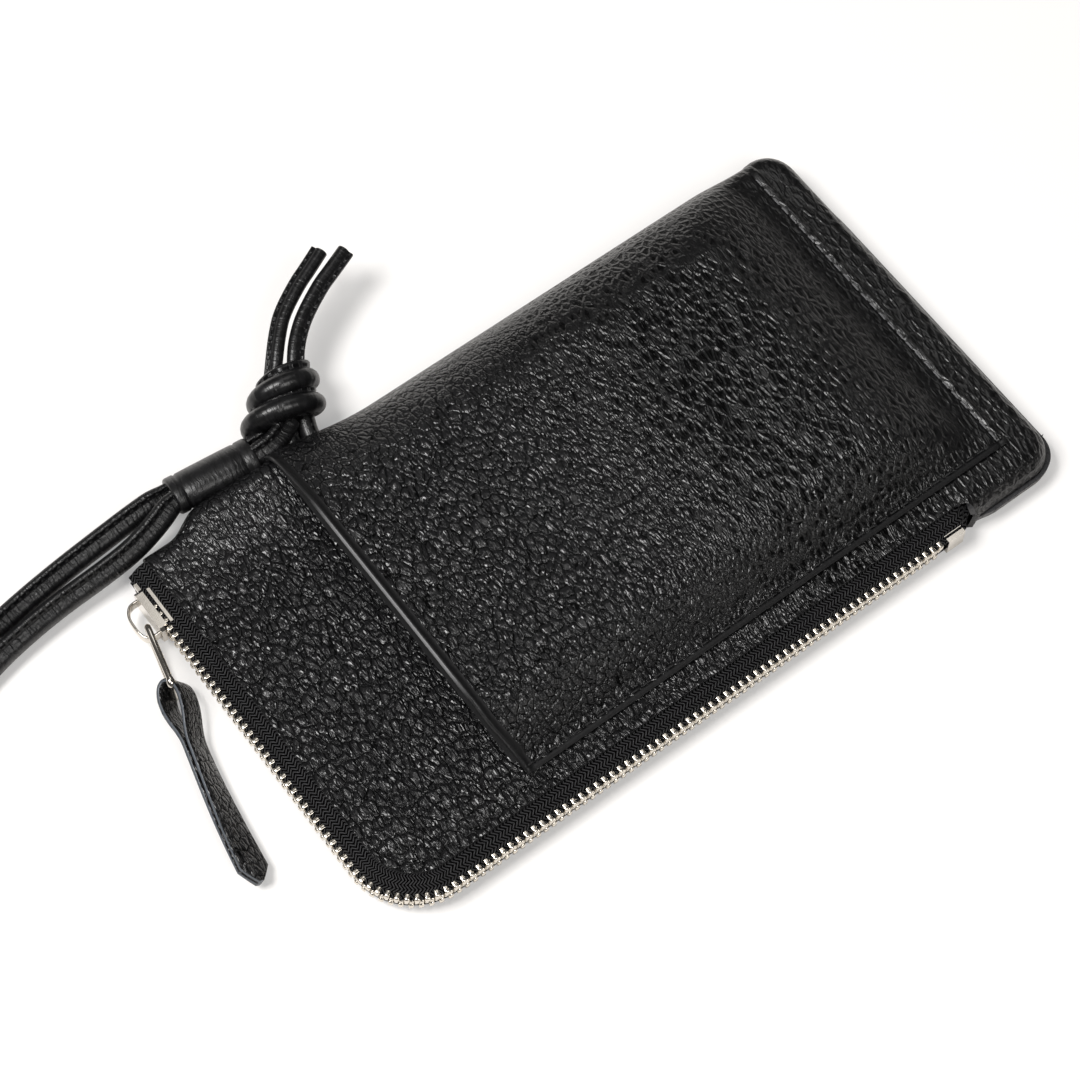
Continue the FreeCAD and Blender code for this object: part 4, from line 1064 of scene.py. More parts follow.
@dataclass
class PhonePocket:
    """The domed pocket on the front, open at its mouth and wrapped over the fold."""

    finishes: Finishes
    bulge: float = 8.5
    crown: float = 0.5
    wrap_z: float = 3.0
    fold_round: float = 5.5
    end_stitch: float = 2.2
    side_stitch: float = 1.7
    margin: float = 3.3
    side_run: float = 8.0
    end_run: float = 13.0
    end_flange: float = 6.0
    shoulder_y: float = 41.0
    fold_slope: float = 0.766
    wave: float = 0.35
    lip: float = 0.7
    edge_sink: float = 0.5
    # Width from the mouth of the lip's painted highlight.
    painted_highlight_edge: float = 0.4
    # Width from the mouth of the dull dark turned band, partly smooth turned leather and partly painted
    # shade on the lip's roll.
    turned_edge: float = 1.9
    # Rows along the zip side that take the same dull dark band as beside the lip.
    side_band: int = 4

    def base_line(self) -> np.ndarray:
        """Give the section without its bulge, from the zip side over the fold."""
        shelf = SIZES.top + SIZES.leather
        outer = SIZES.fold_y + SIZES.leather
        turn = outer - self.fold_round
        flat = np.concatenate([
            SIZES.pocket_side_y + np.array([0.0, 0.1, 0.35, 0.7, 1.1, 1.4, 1.7, 2.0, 2.4, 3.0]),
            np.linspace(SIZES.pocket_side_y + 3.8, turn, 66)])
        line = [(along, shelf) for along in flat]
        for angle in np.linspace(0.0, math.pi / 2, 12)[1:]:
            drop = self.fold_round * (1 - math.cos(angle))
            line.append((turn + self.fold_round * math.sin(angle), shelf - drop))
        for height in np.linspace(shelf - self.fold_round, self.wrap_z, 5)[1:]:
            line.append((outer, float(height)))
        return np.array(line)

    def columns(self) -> np.ndarray:
        """Give the places of the sections along the pocket."""
        from_mouth = np.array([0.0, 0.04, 0.12, 0.25, 0.45, 0.7, 1.0, 1.4, 1.9, 2.3, 2.7, 3.1, 3.6])
        from_end = np.array([3.2, 2.9, 2.6, 2.4, 2.2, 2.0, 1.7, 1.3, 0.8, 0.3, 0.08, 0.0])
        near = SIZES.mouth_x + from_mouth
        far = SIZES.pocket_end_x - from_end
        return np.concatenate([near, np.arange(near[-1] + 1.4, far[0] - 0.7, 1.5), far])

    def dome(self, across: np.ndarray, along: np.ndarray) -> np.ndarray:
        """Give the bulge over the flat pocket: slopes that round into a slightly crowned top."""
        rise = (along - SIZES.pocket_side_y - self.margin) * self.bulge / self.side_run
        fall = self.bulge + (self.shoulder_y - along) * self.fold_slope
        end = (SIZES.pocket_end_x - self.end_flange - across) * self.bulge / self.end_run
        crown = self.crown * np.clip(1 - ((along - 4.0) / 40.0) ** 2, -1.0, 1.0)
        top = soft_min(self.bulge + crown, rise, 6.5)
        top = soft_min(soft_min(top, fall, 6.0), end, 7.5)
        return -soft_min(-top, np.zeros_like(top), 1.6)

    def relief(self, across: np.ndarray, along: np.ndarray) -> np.ndarray:
        """Give what stands up or sinks in on the pocket's top: waves, its mouth's roll and its seams."""
        flat = np.stack([across, along, np.zeros_like(across)], axis=2)
        from_mouth = across - SIZES.mouth_x
        from_end = SIZES.pocket_end_x - across
        from_side = along - SIZES.pocket_side_y
        waves = swell(flat, 24.0, 7.7) * 0.6 + swell(flat, 9.0, 2.2) * 0.3
        inner = smooth_step(from_mouth, 3.0, 14.0) * smooth_step(along, -41.0, -32.0)
        height = self.wave * waves * inner * (1 - smooth_step(across, 74.0, 81.0))
        height += 0.5 * hump(from_mouth, 0.6, 0.7) - 0.08 * hump(from_mouth, 1.9, 0.6)
        lip = np.clip(1 - from_mouth / self.lip, 0.0, 1.0)
        height -= self.lip * (1 - np.sqrt(1 - lip ** 2))
        height -= 0.36 * hump(from_end, self.end_stitch, 0.55)
        for distance in (from_side, from_end):
            height -= self.edge_sink * (1 - smooth_step(distance, -0.01, 0.6))
        return height

    def build(self) -> None:
        """Make the pocket's leather."""
        line = self.base_line()
        places = self.columns()
        across, along = np.meshgrid(places, line[:, 0], indexing="ij")
        height = np.broadcast_to(line[:, 1], across.shape).copy()
        on_top = smooth_step(height, SIZES.top - 2, SIZES.top + 1)
        height += self.dome(across, along) + self.relief(across, along) * on_top
        height -= 0.34 * hump(along - SIZES.pocket_side_y, self.side_stitch, 0.5)
        bow = 1.95 - 2.1 * smooth_step(along, -43.0, -28.0)
        across = across + bow * (1 - smooth_step(across - SIZES.mouth_x, 0.0, 26.0))
        wrapped = smooth_step(along, 36.0, 51.0)
        full = fold_fullness(across) * wrapped
        along = along + 2.7 * full - 0.9 * wrapped * smooth_step(across, 66.0, SIZES.pocket_end_x)
        form = sheet_form(np.stack([across, along, height + 1.4 * full], axis=2), SIZES.leather)
        strip = len(line) - 1
        # Paint 4 is the dull turned band, partly painted shade, and paint 3 is the lip's painted highlight.
        for row, place in enumerate(places[:-1] - SIZES.mouth_x):
            form.paint[row * strip:row * strip + self.side_band] = [4] * self.side_band
            if place < self.turned_edge:
                form.paint[row * strip:(row + 1) * strip] = [3 if place < self.painted_highlight_edge else 4] * strip
        finishes = self.finishes
        piece = form.piece("pocket_leather", finishes.leather, finishes.lining, finishes.cut_edge,
                           finishes.lip, finishes.turned_band)
        soften(piece, 0.4, 3)
        settle(piece, Slot.LEATHER, "phone_pocket")


@dataclass
class Linings:
    """The thin cloth inside the zipped room and under the pocket's dome."""

    finishes: Finishes
    thick: float = 0.4
    corner: float = 11.0

    def sheet(self, name: str, node: str, sag: float) -> None:
        """Lay one lining where its CAD node lies, with a slight sag.

        Args:
            name: Name of the piece.
            node: CAD node that it stands for.
            sag: Depth of its waves.
        """
        low, high = (np.array(corner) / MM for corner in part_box(node))
        steps = [np.linspace(low[axis], high[axis], count) for axis, count in enumerate((40, 26))]
        flat = np.stack(np.meshgrid(*steps, [high[2]], indexing="ij"), axis=3)[:, :, 0]
        middle, half = (low + high)[:2] / 2, (high - low)[:2] / 2
        from_middle = flat[..., :2] - middle
        near = (half - np.abs(from_middle)).min(axis=2)
        past = np.maximum(np.abs(from_middle) - half + self.corner, 0.0)
        over = np.maximum(np.hypot(past[..., 0], past[..., 1]) / self.corner, 1.0)
        flat[..., :2] -= np.sign(from_middle) * past * (1 - 1 / over)[..., None]
        flat[..., 2] -= sag * smooth_step(near, 0.0, 12.0) * (0.5 + 0.5 * swell(flat, 15.0, 3.0))
        settle(sheet_form(flat, self.thick).piece(name, *[self.finishes.lining] * 3), Slot.LINING, node)

    def build(self) -> None:
        """Lay the three linings."""
        for place, sag in (("front", 0.2), ("back", 0.0), ("pocket", 0.15)):
            self.sheet(f"lining_of_{place}", f"{place}_lining", sag)


@dataclass
class Zip:
    """Tapes, teeth and stops of the zip."""

    finishes: Finishes
    tape_thick: float = 0.5
    tape_start_y: float = 50.5
    tape_finish_x: float = 67.8
    tape_tuck: float = 2.8
    pitch: float = 2.12
    first_tooth_y: float = 40.9
    stop_x: float = 58.8
    tooth_out: float = 0.1
    tooth_lean: float = 0.10
    tooth_blunt: float = 0.45

    def tape_section(self) -> np.ndarray:
        """Give a tape's outline, outward and up from the middle plane, with a bead on its inner edge."""
        line = np.array([(-9.8, 3.95), (-7.0, 3.95), (-5.0, 3.95), (-4.0, 3.9), (-3.1, 3.78), (-2.2, 3.5),
                         (-1.4, 3.1), (-0.7, 2.6)])
        bead = np.array([(-0.1, 2.25), (0.45, 2.05), (0.78, 1.75), (0.84, 1.4), (0.68, 1.05), (0.2, 0.9),
                         (-0.3, 1.0), (-0.45, 1.5)])
        slope = directions(line)
        out = np.stack([-slope[:, 1], slope[:, 0]], axis=1) * self.tape_thick / 2
        return np.vstack([line + out, bead, (line - out)[::-1]])

    def tape(self, name: str, node: str, way: int) -> None:
        """Weave one tape.

        Args:
            name: Name of the piece.
            node: CAD node that it stands for.
            way: 1 for the front tape and -1 for the back tape.
        """
        path = ZipPath(self.tape_start_y, self.tape_finish_x)
        section = self.tape_section()
        turn = path.radius * math.pi / 2
        distances = np.concatenate([
            np.arange(0.0, path.first_run, 3.0),
            path.first_run + np.linspace(0.0, turn, 24),
            np.arange(path.first_run + turn + 3.0, path.length - 5.0, 3.0),
            path.length - np.array([4.0, 3.0, 2.0, 1.0, 0.0])])
        rings = []
        for distance in distances:
            place, outward = path.at(float(distance))
            tuck = self.tape_tuck * float(smooth_step(distance, path.length - 4.0, path.length))
            rise = UP * (SIZES.middle + way * section[:, 1:2])
            rings.append(place + outward * (section[:, 0:1] - tuck) + rise)
        form = skinned(np.array(rings), distances, distances_along(section), way > 0)
        settle(form.piece(name, self.finishes.tape), Slot.TAPE, node)

    def tooth(self) -> Tuple[np.ndarray, List[Face]]:
        """Shape one tooth as two round lobes: along the zip, outward, and up from the middle plane.

        Returns:
            Its points and faces.
        """
        points: List[np.ndarray] = []
        faces: List[Face] = []
        for middle, size in ((1.5, (0.64, 1.2, 0.98)), (0.0, (0.52, 0.9, 0.9))):
            lobe = bmesh.new()
            bmesh.ops.create_uvsphere(lobe, u_segments=16, v_segments=10, radius=1.0)
            lobe.verts.index_update()
            start = len(points)
            for vertex in lobe.verts:
                spot = np.array(vertex.co)
                blunt = np.sign(spot) * np.abs(spot) ** self.tooth_blunt
                points.append(blunt * np.array(size) + np.array([0.0, self.tooth_out, middle]))
            faces.extend(tuple(start + vertex.index for vertex in face.verts) for face in lobe.faces)
            lobe.free()
        return np.array(points), faces

    def row(self, name: str, node: str, shift: float, way: int) -> None:
        """Set one row of teeth along the zip.

        Args:
            name: Name of the piece.
            node: CAD node that it stands for.
            shift: Distance of the first tooth from the row's start.
            way: 1 for the front row and -1 for the back row.
        """
        path = ZipPath(self.first_tooth_y, self.stop_x)
        points, faces = self.tooth()
        if way < 0:
            faces = [face[::-1] for face in faces]
        forms = []
        for index in range(int((path.length + self.pitch / 3 - shift) / self.pitch)):
            place, outward = path.at(shift + index * self.pitch)
            lean = points[:, 0:1] + self.tooth_lean * points[:, 2:3] * way
            rise = UP * (SIZES.middle + way * points[:, 2:3])
            forms.append(Form(place + np.cross(UP, outward) * lean + outward * points[:, 1:2] + rise, faces))
        settle(joined(forms).piece(name, self.finishes.teeth, smooth=60.0), Slot.METAL, node)

    def build(self) -> None:
        """Make the whole zip."""
        rows = ((1, "front", 0.0), (-1, "back", self.pitch / 2))
        for way, side, _ in rows:
            self.tape(f"tape_of_{side}", f"zip_tape_{side}", way)
        for way, side, shift in rows:
            self.row(f"teeth_of_{side}", f"zip_teeth_{side}", shift, way)
        for node, width in (("zip_top_stops", 0.2), ("zip_bottom_stop", 0.45)):
            plated(node, self.finishes.nickel, width)


def plated(node: str, material: bpy.types.Material, width: float) -> None:
    """Dress a metal CAD node and round its edges.

    Args:
        node: Name of the CAD node.
        material: Its finish.
        width: Width of the rounding.
    """
    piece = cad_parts[node]
    piece.data.materials.clear()
    piece.data.materials.append(material)
    soften(piece, width, 3, 30.0)
    LOG.info("dressed %s", node)


@dataclass
class Pull:
    """The slider, its crown and link, and the leather tab."""

    finishes: Finishes
    pivot: Point = (-98.2, 37.6, 5.5)
    bar: Point = (-101.844, 21.815, 5.5)
    tilt: float = 11.5
    layer: float = 1.15
    layer_gap: float = 0.06
    half_width: float = 3.6
    length: float = 49.0
    point: float = 3.4
    hole_half: float = 2.0
    hole_from: float = 15.0
    hole_to: float = 2.5
    over_bar: float = 1.35
    edge: float = 0.3
    loop_lean: float = 28.0
    twist: float = 30.0
    sink: float = 1.7
    bow: float = 0.9

    def crown(self) -> None:
        """Make the arch on the slider."""
        arch = [(-96.2, 35.3), (-97.8, 35.2), (-99.6, 35.5), (-100.4, 37.2), (-100.5, 40.0), (-100.2, 42.6),
                (-98.9, 44.5), (-97.4, 44.8), (-96.2, 44.7)]
        line = smooth_line([(x, y, self.bar[2]) for x, y in arch], 40)
        form = swept_form(line, UP, rounded_section(1.45, 0.38, power=0.62))
        piece = form.piece("slider_arch", self.finishes.nickel, smooth=50.0)
        settle(piece, Slot.METAL, "slider_crown", body=BodyName.SLIDER)

    def link(self) -> None:
        """Make the frame between the arch and the tab."""
        top, low = np.array(self.pivot), np.array(self.bar)
        reach = float(np.linalg.norm(low - top))
        ahead = (low - top) / reach
        corners = [(0.0, 0.0), (0.0, 2.1), (0.7, 2.9), (5.0, 2.7), (reach - 3.0, 3.9), (reach - 0.9, 4.1),
                   (reach, 3.4), (reach, 0.0)]
        half = smooth_line(corners, 44)
        ring = np.vstack([half, (half * np.array([1.0, -1.0]))[-2::-1]])
        line = top + ahead * ring[:, 0:1] + UP * ring[:, 1:2]
        thick = 1.0 + 0.45 * smooth_step(ring[:, 0], reach - 2.0, reach)
        form = swept_form(line, np.cross(ahead, UP), rounded_section(0.75, 0.75), False, thick)
        piece = form.piece("link_frame", self.finishes.nickel, smooth=60.0)
        settle(piece, Slot.METAL, "pull_link", body=BodyName.LINK)

    def strip_line(self) -> np.ndarray:
        """Give the folded strip's middle line, from one tip over the bar to the other tip."""
        half = self.layer / 2
        wide = self.hole_half + half
        closed = half + self.layer_gap
        side = [(closed, -float(down)) for down in np.linspace(self.length, self.hole_from, 20)]
        for share in np.linspace(0.0, 1.0, 12)[1:]:
            spread = float(smooth_step(share, 0.0, 1.0))
            down = self.hole_from - (self.hole_from - self.hole_to) * share
            side.append((closed + (wide - closed) * spread, -down))
        top = self.over_bar + half + self.hole_to
        for angle in np.linspace(0.0, math.pi / 2, 8)[1:]:
            side.append((wide * math.cos(angle), top * math.sin(angle) - self.hole_to))
        return np.array(side + [(-out, up) for out, up in side[-2::-1]])

    def tab(self) -> None:
        """Make the folded leather tab."""
        line = self.strip_line()
        slope = directions(line)
        half, wide, edge = self.layer / 2, self.half_width, self.edge
        front = np.array([(half, edge - wide), (half, -wide / 2), (half, 0.0), (half, wide / 2),
                          (half, wide - edge), (half - edge, wide), (edge - half, wide)])
        section = np.vstack([front, -front])
        sides = [0, 0, 0, 0, 0, 1, 0] * 2
        turn = math.radians(-self.tilt)
        rings = []
        for (out, up), (slope_x, slope_y) in zip(line, slope):
            down = min(max(-up / self.length, 0.0), 1.0)
            narrow = 0.16 + 0.84 * min(max((self.length + up) / self.point, 0.0), 1.0)
            twisted = float(smooth_step(-up, 8.0, self.length + 6.0))
            lean = math.radians(self.loop_lean + self.twist * twisted)
            x = out + slope_y * section[:, 0]
            y = up - slope_x * section[:, 0]
            z = section[:, 1] * narrow
            level = x * math.cos(lean) - z * math.sin(lean) - self.bow * math.sin(math.pi * down)
            rise = x * math.sin(lean) + z * math.cos(lean)
            rise -= self.sink * float(smooth_step(-up, 4.0, self.length))
            east = level * math.cos(turn) - y * math.sin(turn)
            north = level * math.sin(turn) + y * math.cos(turn)
            rings.append(np.array(self.bar) + np.stack([east, north, rise], axis=1))
        columns = np.arange(len(section))
        form = skinned(np.array(rings), distances_along(line), columns, True, True, sides + [1])
        piece = form.piece("tab_leather", self.finishes.tab_leather, self.finishes.tab_edge, smooth=75.0)
        settle(piece, Slot.LEATHER, "pull_tab", body=BodyName.TAB)

    def build(self) -> None:
        """Dress the metal and make the tab."""
        plated("slider_body", self.finishes.nickel, 0.42)
        self.crown()
        self.link()
        self.tab()


TAIL_A: Route = [(-36.8, 75.2, 12.7), (-33.2, 79.2, 13.4), (-29.5, 82.7, 14.0), (-22.1, 86.9, 14.6),
                 (-18.4, 88.4, 14.8), (-13.2, 90.9, 15.0)]
TAIL_B: Route = [(-33.8, 73.0, 12.7), (-30.1, 76.9, 13.4), (-26.0, 80.1, 14.0), (-18.5, 84.2, 14.6),
                 (-14.6, 85.6, 14.8), (-8.6, 88.1, 15.0)]


@dataclass
class Strap:
    """The strap's cords, knot, sleeve, anchor, coil and tie."""

    finishes: Finishes
    radius: float = 1.95
    welt: float = 3.2
    welt_half: float = 0.78
    welt_edge: float = 0.3
    cord: float = 4.6
    tail: float = 4.2
    coil_centre: Span = (-174.0, 58.0)
    coil_radius: float = 31.5
    coil_step: float = 5.1
    coil_turns: float = 5.75
    coil_low: float = 3.7
    coil_points: int = 138
    knot: Point = (-40.5, 67.0, 10.0)
    knot_axis: Point = (0.55, 0.82, 0.16)
    knot_turns: float = 2.0
    sleeve_left: Point = (-76.0, 61.0, 8.5)
    sleeve_right: Point = (-55.0, 58.9, 8.5)
    beside: float = 2.2

    def section(self, half: float) -> np.ndarray:
        """Give the cord's outline: a rolled ridge with a flat sewn welt on its first axis.

        Args:
            half: Half the welt's thickness.

        Returns:
            The outline, starting at the welt's tip.
        """
        opening = math.asin(half / self.radius)
        ridge = [(self.radius * math.cos(angle), self.radius * math.sin(angle))
                 for angle in np.linspace(opening, 2 * math.pi - opening, 19)]
        tip, edge = self.welt, self.welt_edge
        flat = [(tip, 0.0), (tip, half - edge), (tip - edge, half), (tip - 3 * edge, half)]
        return np.array(flat + ridge + [(x, -y) for x, y in flat[:0:-1]])

    def rolled(self, path: np.ndarray, side: np.ndarray, section: np.ndarray,
               scale: Optional[np.ndarray] = None) -> Form:
        """Sweep a cord whose map runs along it and from its welt to its ridge on both sides.

        Args:
            path: Middle line of the ridge.
            side: Direction of the welt at each point.
            section: Outline of the cord, starting at the welt's tip.
            scale: Size of the section at each point.

        Returns:
            The cord.
        """
        form = swept_form(path, side, section, True, scale)
        form.run[:, 1] = np.minimum(form.run[:, 1], form.run[:, 1].max() + section[1, 1] - form.run[:, 1])
        return form

    def spline(self, points: Sequence[Sequence[float]]) -> np.ndarray:
        """Read a smooth line off a NURBS spline through a cord's route.

        Args:
            points: Control points of the route.

        Returns:
            Points close together along the spline, in millimetres.
        """
        curve = bpy.data.curves.new("route", "CURVE")
        curve.dimensions = "3D"
        curve.resolution_u = 6
        route = curve.splines.new("NURBS")
        route.points.add(len(points) - 1)
        for place, point in zip(points, route.points):
            point.co = (place[0] * MM, place[1] * MM, place[2] * MM, 1.0)
        route.order_u = 3
        route.use_endpoint_u = True
        holder = linked(bpy.data.objects.new("route", curve))
        bpy.context.view_layer.update()
        mesh = bpy.data.meshes.new_from_object(holder)
        line = np.array([tuple(vertex.co) for vertex in mesh.vertices]) / MM
        bpy.data.objects.remove(holder)
        bpy.data.meshes.remove(mesh)
        bpy.data.curves.remove(curve)
        keep = np.concatenate([[True], np.linalg.norm(np.diff(line, axis=0), axis=1) > 1e-4])
        return line[keep]

    def coil_place(self, turned: float) -> Point:
        """Give the coil's middle line after an angle, going clockwise from its lower right."""
        past_middle = turned - math.pi * self.coil_turns
        rate = self.coil_step / (2 * math.pi)
        blend = math.pi / 3
        inner = self.coil_radius - rate * math.hypot(math.pi * self.coil_turns, blend)
        radius = inner + rate * math.hypot(past_middle, blend)
        climb = min(max(past_middle / math.pi + 0.5, 0.0), 1.0)
        lift = climb * climb * (3 - 2 * climb)
        angle = -math.pi / 4 - turned
        east, north = self.coil_centre
        return (east + radius * math.cos(angle), north + radius * math.sin(angle),
                self.coil_low + self.coil_step * lift)

    def strand_route(self) -> Route:
        """Give the strap's route from the knot through the coil and back to the knot."""
        to_knot_a = [(-44.6, 62.4, 8.4), (-49.0, 59.9, 7.4), (-55.0, 60.7, 7.2), (-65.5, 61.7, 7.2)]
        out_a = [(-76.0, 62.8, 7.2), (-85.0, 62.6, 6.8), (-94.6, 62.1, 6.0), (-106.3, 61.4, 5.0),
                 (-117.6, 60.1, 4.4), (-127.0, 58.2, 4.6), (-134.5, 59.5, 5.8), (-142.0, 70.6, 8.0)]
        whole = 2 * math.pi * self.coil_turns
        coil = [self.coil_place(whole * step / self.coil_points) for step in range(self.coil_points + 1)]
        out_b = [(-76.0, 59.2, 9.7), (-82.0, 57.0, 8.4), (-90.0, 55.2, 7.0), (-99.7, 54.9, 5.6),
                 (-111.0, 54.7, 4.8), (-122.0, 53.4, 4.3), (-131.0, 51.6, 4.0), (-138.5, 48.9, 3.7)]
        to_knot_b = [(-43.4, 60.6, 9.4), (-49.0, 57.0, 9.8), (-55.0, 57.1, 9.8), (-65.5, 58.2, 9.8)]
        return to_knot_a + out_a + coil[::-1] + out_b[::-1] + to_knot_b[::-1]

    def strand(self) -> Tuple[bpy.types.Object, np.ndarray]:
        """Make the strap's long cord, fatter at the knot and where its runs lie open.

        Returns:
            The cord and its path.
        """
        upward = (0.25, 0.55, 0.8)
        line = self.spline(self.strand_route())
        lengths = distances_along(line)
        from_end = np.minimum(lengths, lengths[-1] - lengths)
        fat = 1.0 + 0.28 * (1 - smooth_step(from_end, 9.0, 17.0))
        fat += 0.24 * smooth_step(from_end, 31.0, 38.0) * (1 - smooth_step(from_end, 88.0, 102.0))
        share = smooth_step(lengths / lengths[-1], 0.2, 0.8)
        there, back = carried_side(line, upward), carried_side(line[::-1], upward)[::-1]
        side = turned_between(line, there, back, share)
        form = self.rolled(line, side, self.section(self.welt_half), fat)
        cord = form.piece("strap_cord", self.finishes.cord, smooth=60.0)
        return settle(cord, Slot.STRAP, "strap_strand_a", "strap_strand_b", "strap_coil"), line

    def loose_end(self, name: str, way: int, points: Route) -> Tuple[bpy.types.Object, np.ndarray]:
        """Make one of the tails that stick out of the knot.

        Args:
            name: Name of the piece.
            way: Side of the knot that it leaves by, 1 or -1.
            points: Its route.

        Returns:
            The tail and its path.
        """
        axis = Vector(self.knot_axis).normalized()
        across = Vector(UP).cross(axis).normalized()
        start = Vector(self.knot) + axis * 4.0 + across * (self.beside * way)
        line = self.spline([tuple(start)] + points)
        form = self.rolled(line, carried_side(line, tuple(across * way)), self.section(self.welt_half) * 0.8)
        return settle(form.piece(name, self.finishes.tail, smooth=60.0), Slot.STRAP, f"strap_{name}"), line

    def knot_frame(self) -> Tuple[np.ndarray, np.ndarray, np.ndarray]:
        """Give the knot's middle, its axis and the level direction across it."""
        axis = Vector(self.knot_axis).normalized()
        return np.array(self.knot), np.array(axis), np.array(Vector(UP).cross(axis).normalized())

    def wraps(self) -> bpy.types.Object:
        """Make the knot's wraps."""
        centre, axis, across = self.knot_frame()
        face = np.cross(axis, across)
        share = np.linspace(0.0, 1.0, 110)[:, None]
        angle = math.radians(-150) + 2 * math.pi * self.knot_turns * share
        along = -9.4 + 11.8 * share - 1.4 * np.cos(angle)
        tucked = 1.0 - 0.4 * smooth_step(np.abs(share - 0.5), 0.45, 0.5)
        wide = (7.8 - 2.8 * share) * tucked
        deep = (5.6 - 1.0 * share) * tucked
        line = centre + axis * along + across * (wide * np.cos(angle)) + face * (deep * np.sin(angle))
        thick = 1.55 + 0.05 * np.sin(9.0 * share[:, 0])
        form = self.rolled(line, axis, self.section(0.5) * np.array([0.9, 1.05]), thick)
        return settle(form.piece("knot_wraps", self.finishes.knot, smooth=60.0), Slot.STRAP, "strap_knot")

    def core(self) -> bpy.types.Object:
        """Make the cords that cross inside the knot."""
        centre, axis, across = self.knot_frame()
        along = np.linspace(-8.0, 5.5, 24)[:, None]
        forms = []
        for way in (-1, 1):
            line = centre + axis * along + across * (2.0 * way * np.cos(along * 0.22))
            forms.append(swept_form(line, carried_side(line, UP), rounded_section(1.9, 1.9, 16)))
        piece = joined(forms).piece("knot_core", self.finishes.knot, smooth=60.0)
        return settle(piece, Slot.STRAP, "strap_knot_core")

    def anchor(self) -> bpy.types.Object:
        """Make the two legs of the loop that is sewn into the fold."""
        forms = []
        for offset in (-2.4, 2.4):
            foot = self.knot[0] - 3.4 + offset
            line = self.spline([(foot, 53.2, 7.0), (foot + 0.2, 56.0, 7.4), (foot + 1.2, 59.0, 8.2),
                                (foot + 2.6, 62.5, 9.0)])
            forms.append(swept_form(line, carried_side(line, UP), rounded_section(2.3, 2.3)))
        piece = joined(forms).piece("anchor_loop", self.finishes.knot, smooth=60.0)
        return settle(piece, Slot.STRAP, "strap_anchor")

    def sleeve(self) -> bpy.types.Object:
        """Make the sleeve over both runs of the strap, with a sewn groove near each end."""
        left, right = np.array(self.sleeve_left), np.array(self.sleeve_right)
        axis = (right - left) / np.linalg.norm(right - left)
        stack = np.cross(UP, axis) * 0.81 - UP * 0.586
        half, outer, inner = self.beside, 3.7, 2.25
        outline = rounded_section(half + outer, outer + 0.45, 40)
        hole = rounded_section(inner, inner, 40)
        hole[:, 0] += np.where(hole[:, 0] > 0, half, -half)
        stations = np.array([0.0, 0.15, 0.5, 2.3, 2.6, 2.9, 3.2, 6.0, 10.0, 14.0, 17.6, 17.9, 18.2, 18.5,
                             20.6, 20.95, 21.1])
        end = [0.93, 0.98, 1.01, 1.01, 0.95, 0.95, 0.99]
        fat = np.array(end + [1.0, 1.0, 1.0] + end[::-1])
        line = left + axis * stations[:, None]
        outside = swept_form(line, stack, outline, False, fat)
        inside = swept_form(line[[0, -1]], stack, hole, False)
        inside.faces = [face[::-1] for face in inside.faces]
        form = joined([outside, inside])
        columns, base = len(outline), len(outside.points)
        last = base - columns
        for here in range(columns):
            following = (here + 1) % columns
            far, far_following = base + columns + here, base + columns + following
            form.faces.append((here, base + here, base + following, following))
            form.faces.append((last + following, far_following, far, last + here))
        piece = form.piece("strap_sleeve_leather", self.finishes.sleeve, smooth=50.0)
        return settle(piece, Slot.STRAP, "strap_sleeve")

    def tie(self) -> bpy.types.Object:
        """Dress the band round the coil."""
        low, high = (np.array(corner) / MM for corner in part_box("strap_coil_tie"))
        middle = (low + high) / 2
        reach, _, rise = (high - low) / 2 - 0.5
        loop = rounded_section(reach, rise, 64, 0.35)
        points = []
        for across, up in loop:
            place = np.array([across, 0.0, up])
            outward = place / np.linalg.norm(place)
            for along, out in ((-2.8, -0.4), (2.8, -0.4), (2.8, 0.4), (-2.8, 0.4)):
                points.append(middle + place + np.array([0.0, along, 0.0]) + outward * out)
        faces = quads(len(loop), 4, 0, False, True)
        last = len(points) - 4
        for column in range(4):
            following = (column + 1) % 4
            faces.append((last + column, last + following, following, column))
        form = Form(np.array(points), faces, np.array(points)[:, :2])
        return settle(form.piece("coil_tie", self.finishes.tape, smooth=50.0), Slot.TAPE, "strap_coil_tie")

    def build(self) -> None:
        """Make the whole strap."""
        cord, path = self.strand()
        tails = [self.loose_end("tail_a", 1, TAIL_A), self.loose_end("tail_b", -1, TAIL_B)]
        pieces = [self.wraps(), self.core(), self.sleeve(), self.tie()]
        self.anchor()
        tuple(path[0] * MM)
        self.cord * MM
        (path * MM).tolist()
        for tail, path in tails:
            tuple(path[0] * MM)
            self.tail * MM
            (path * MM).tolist()


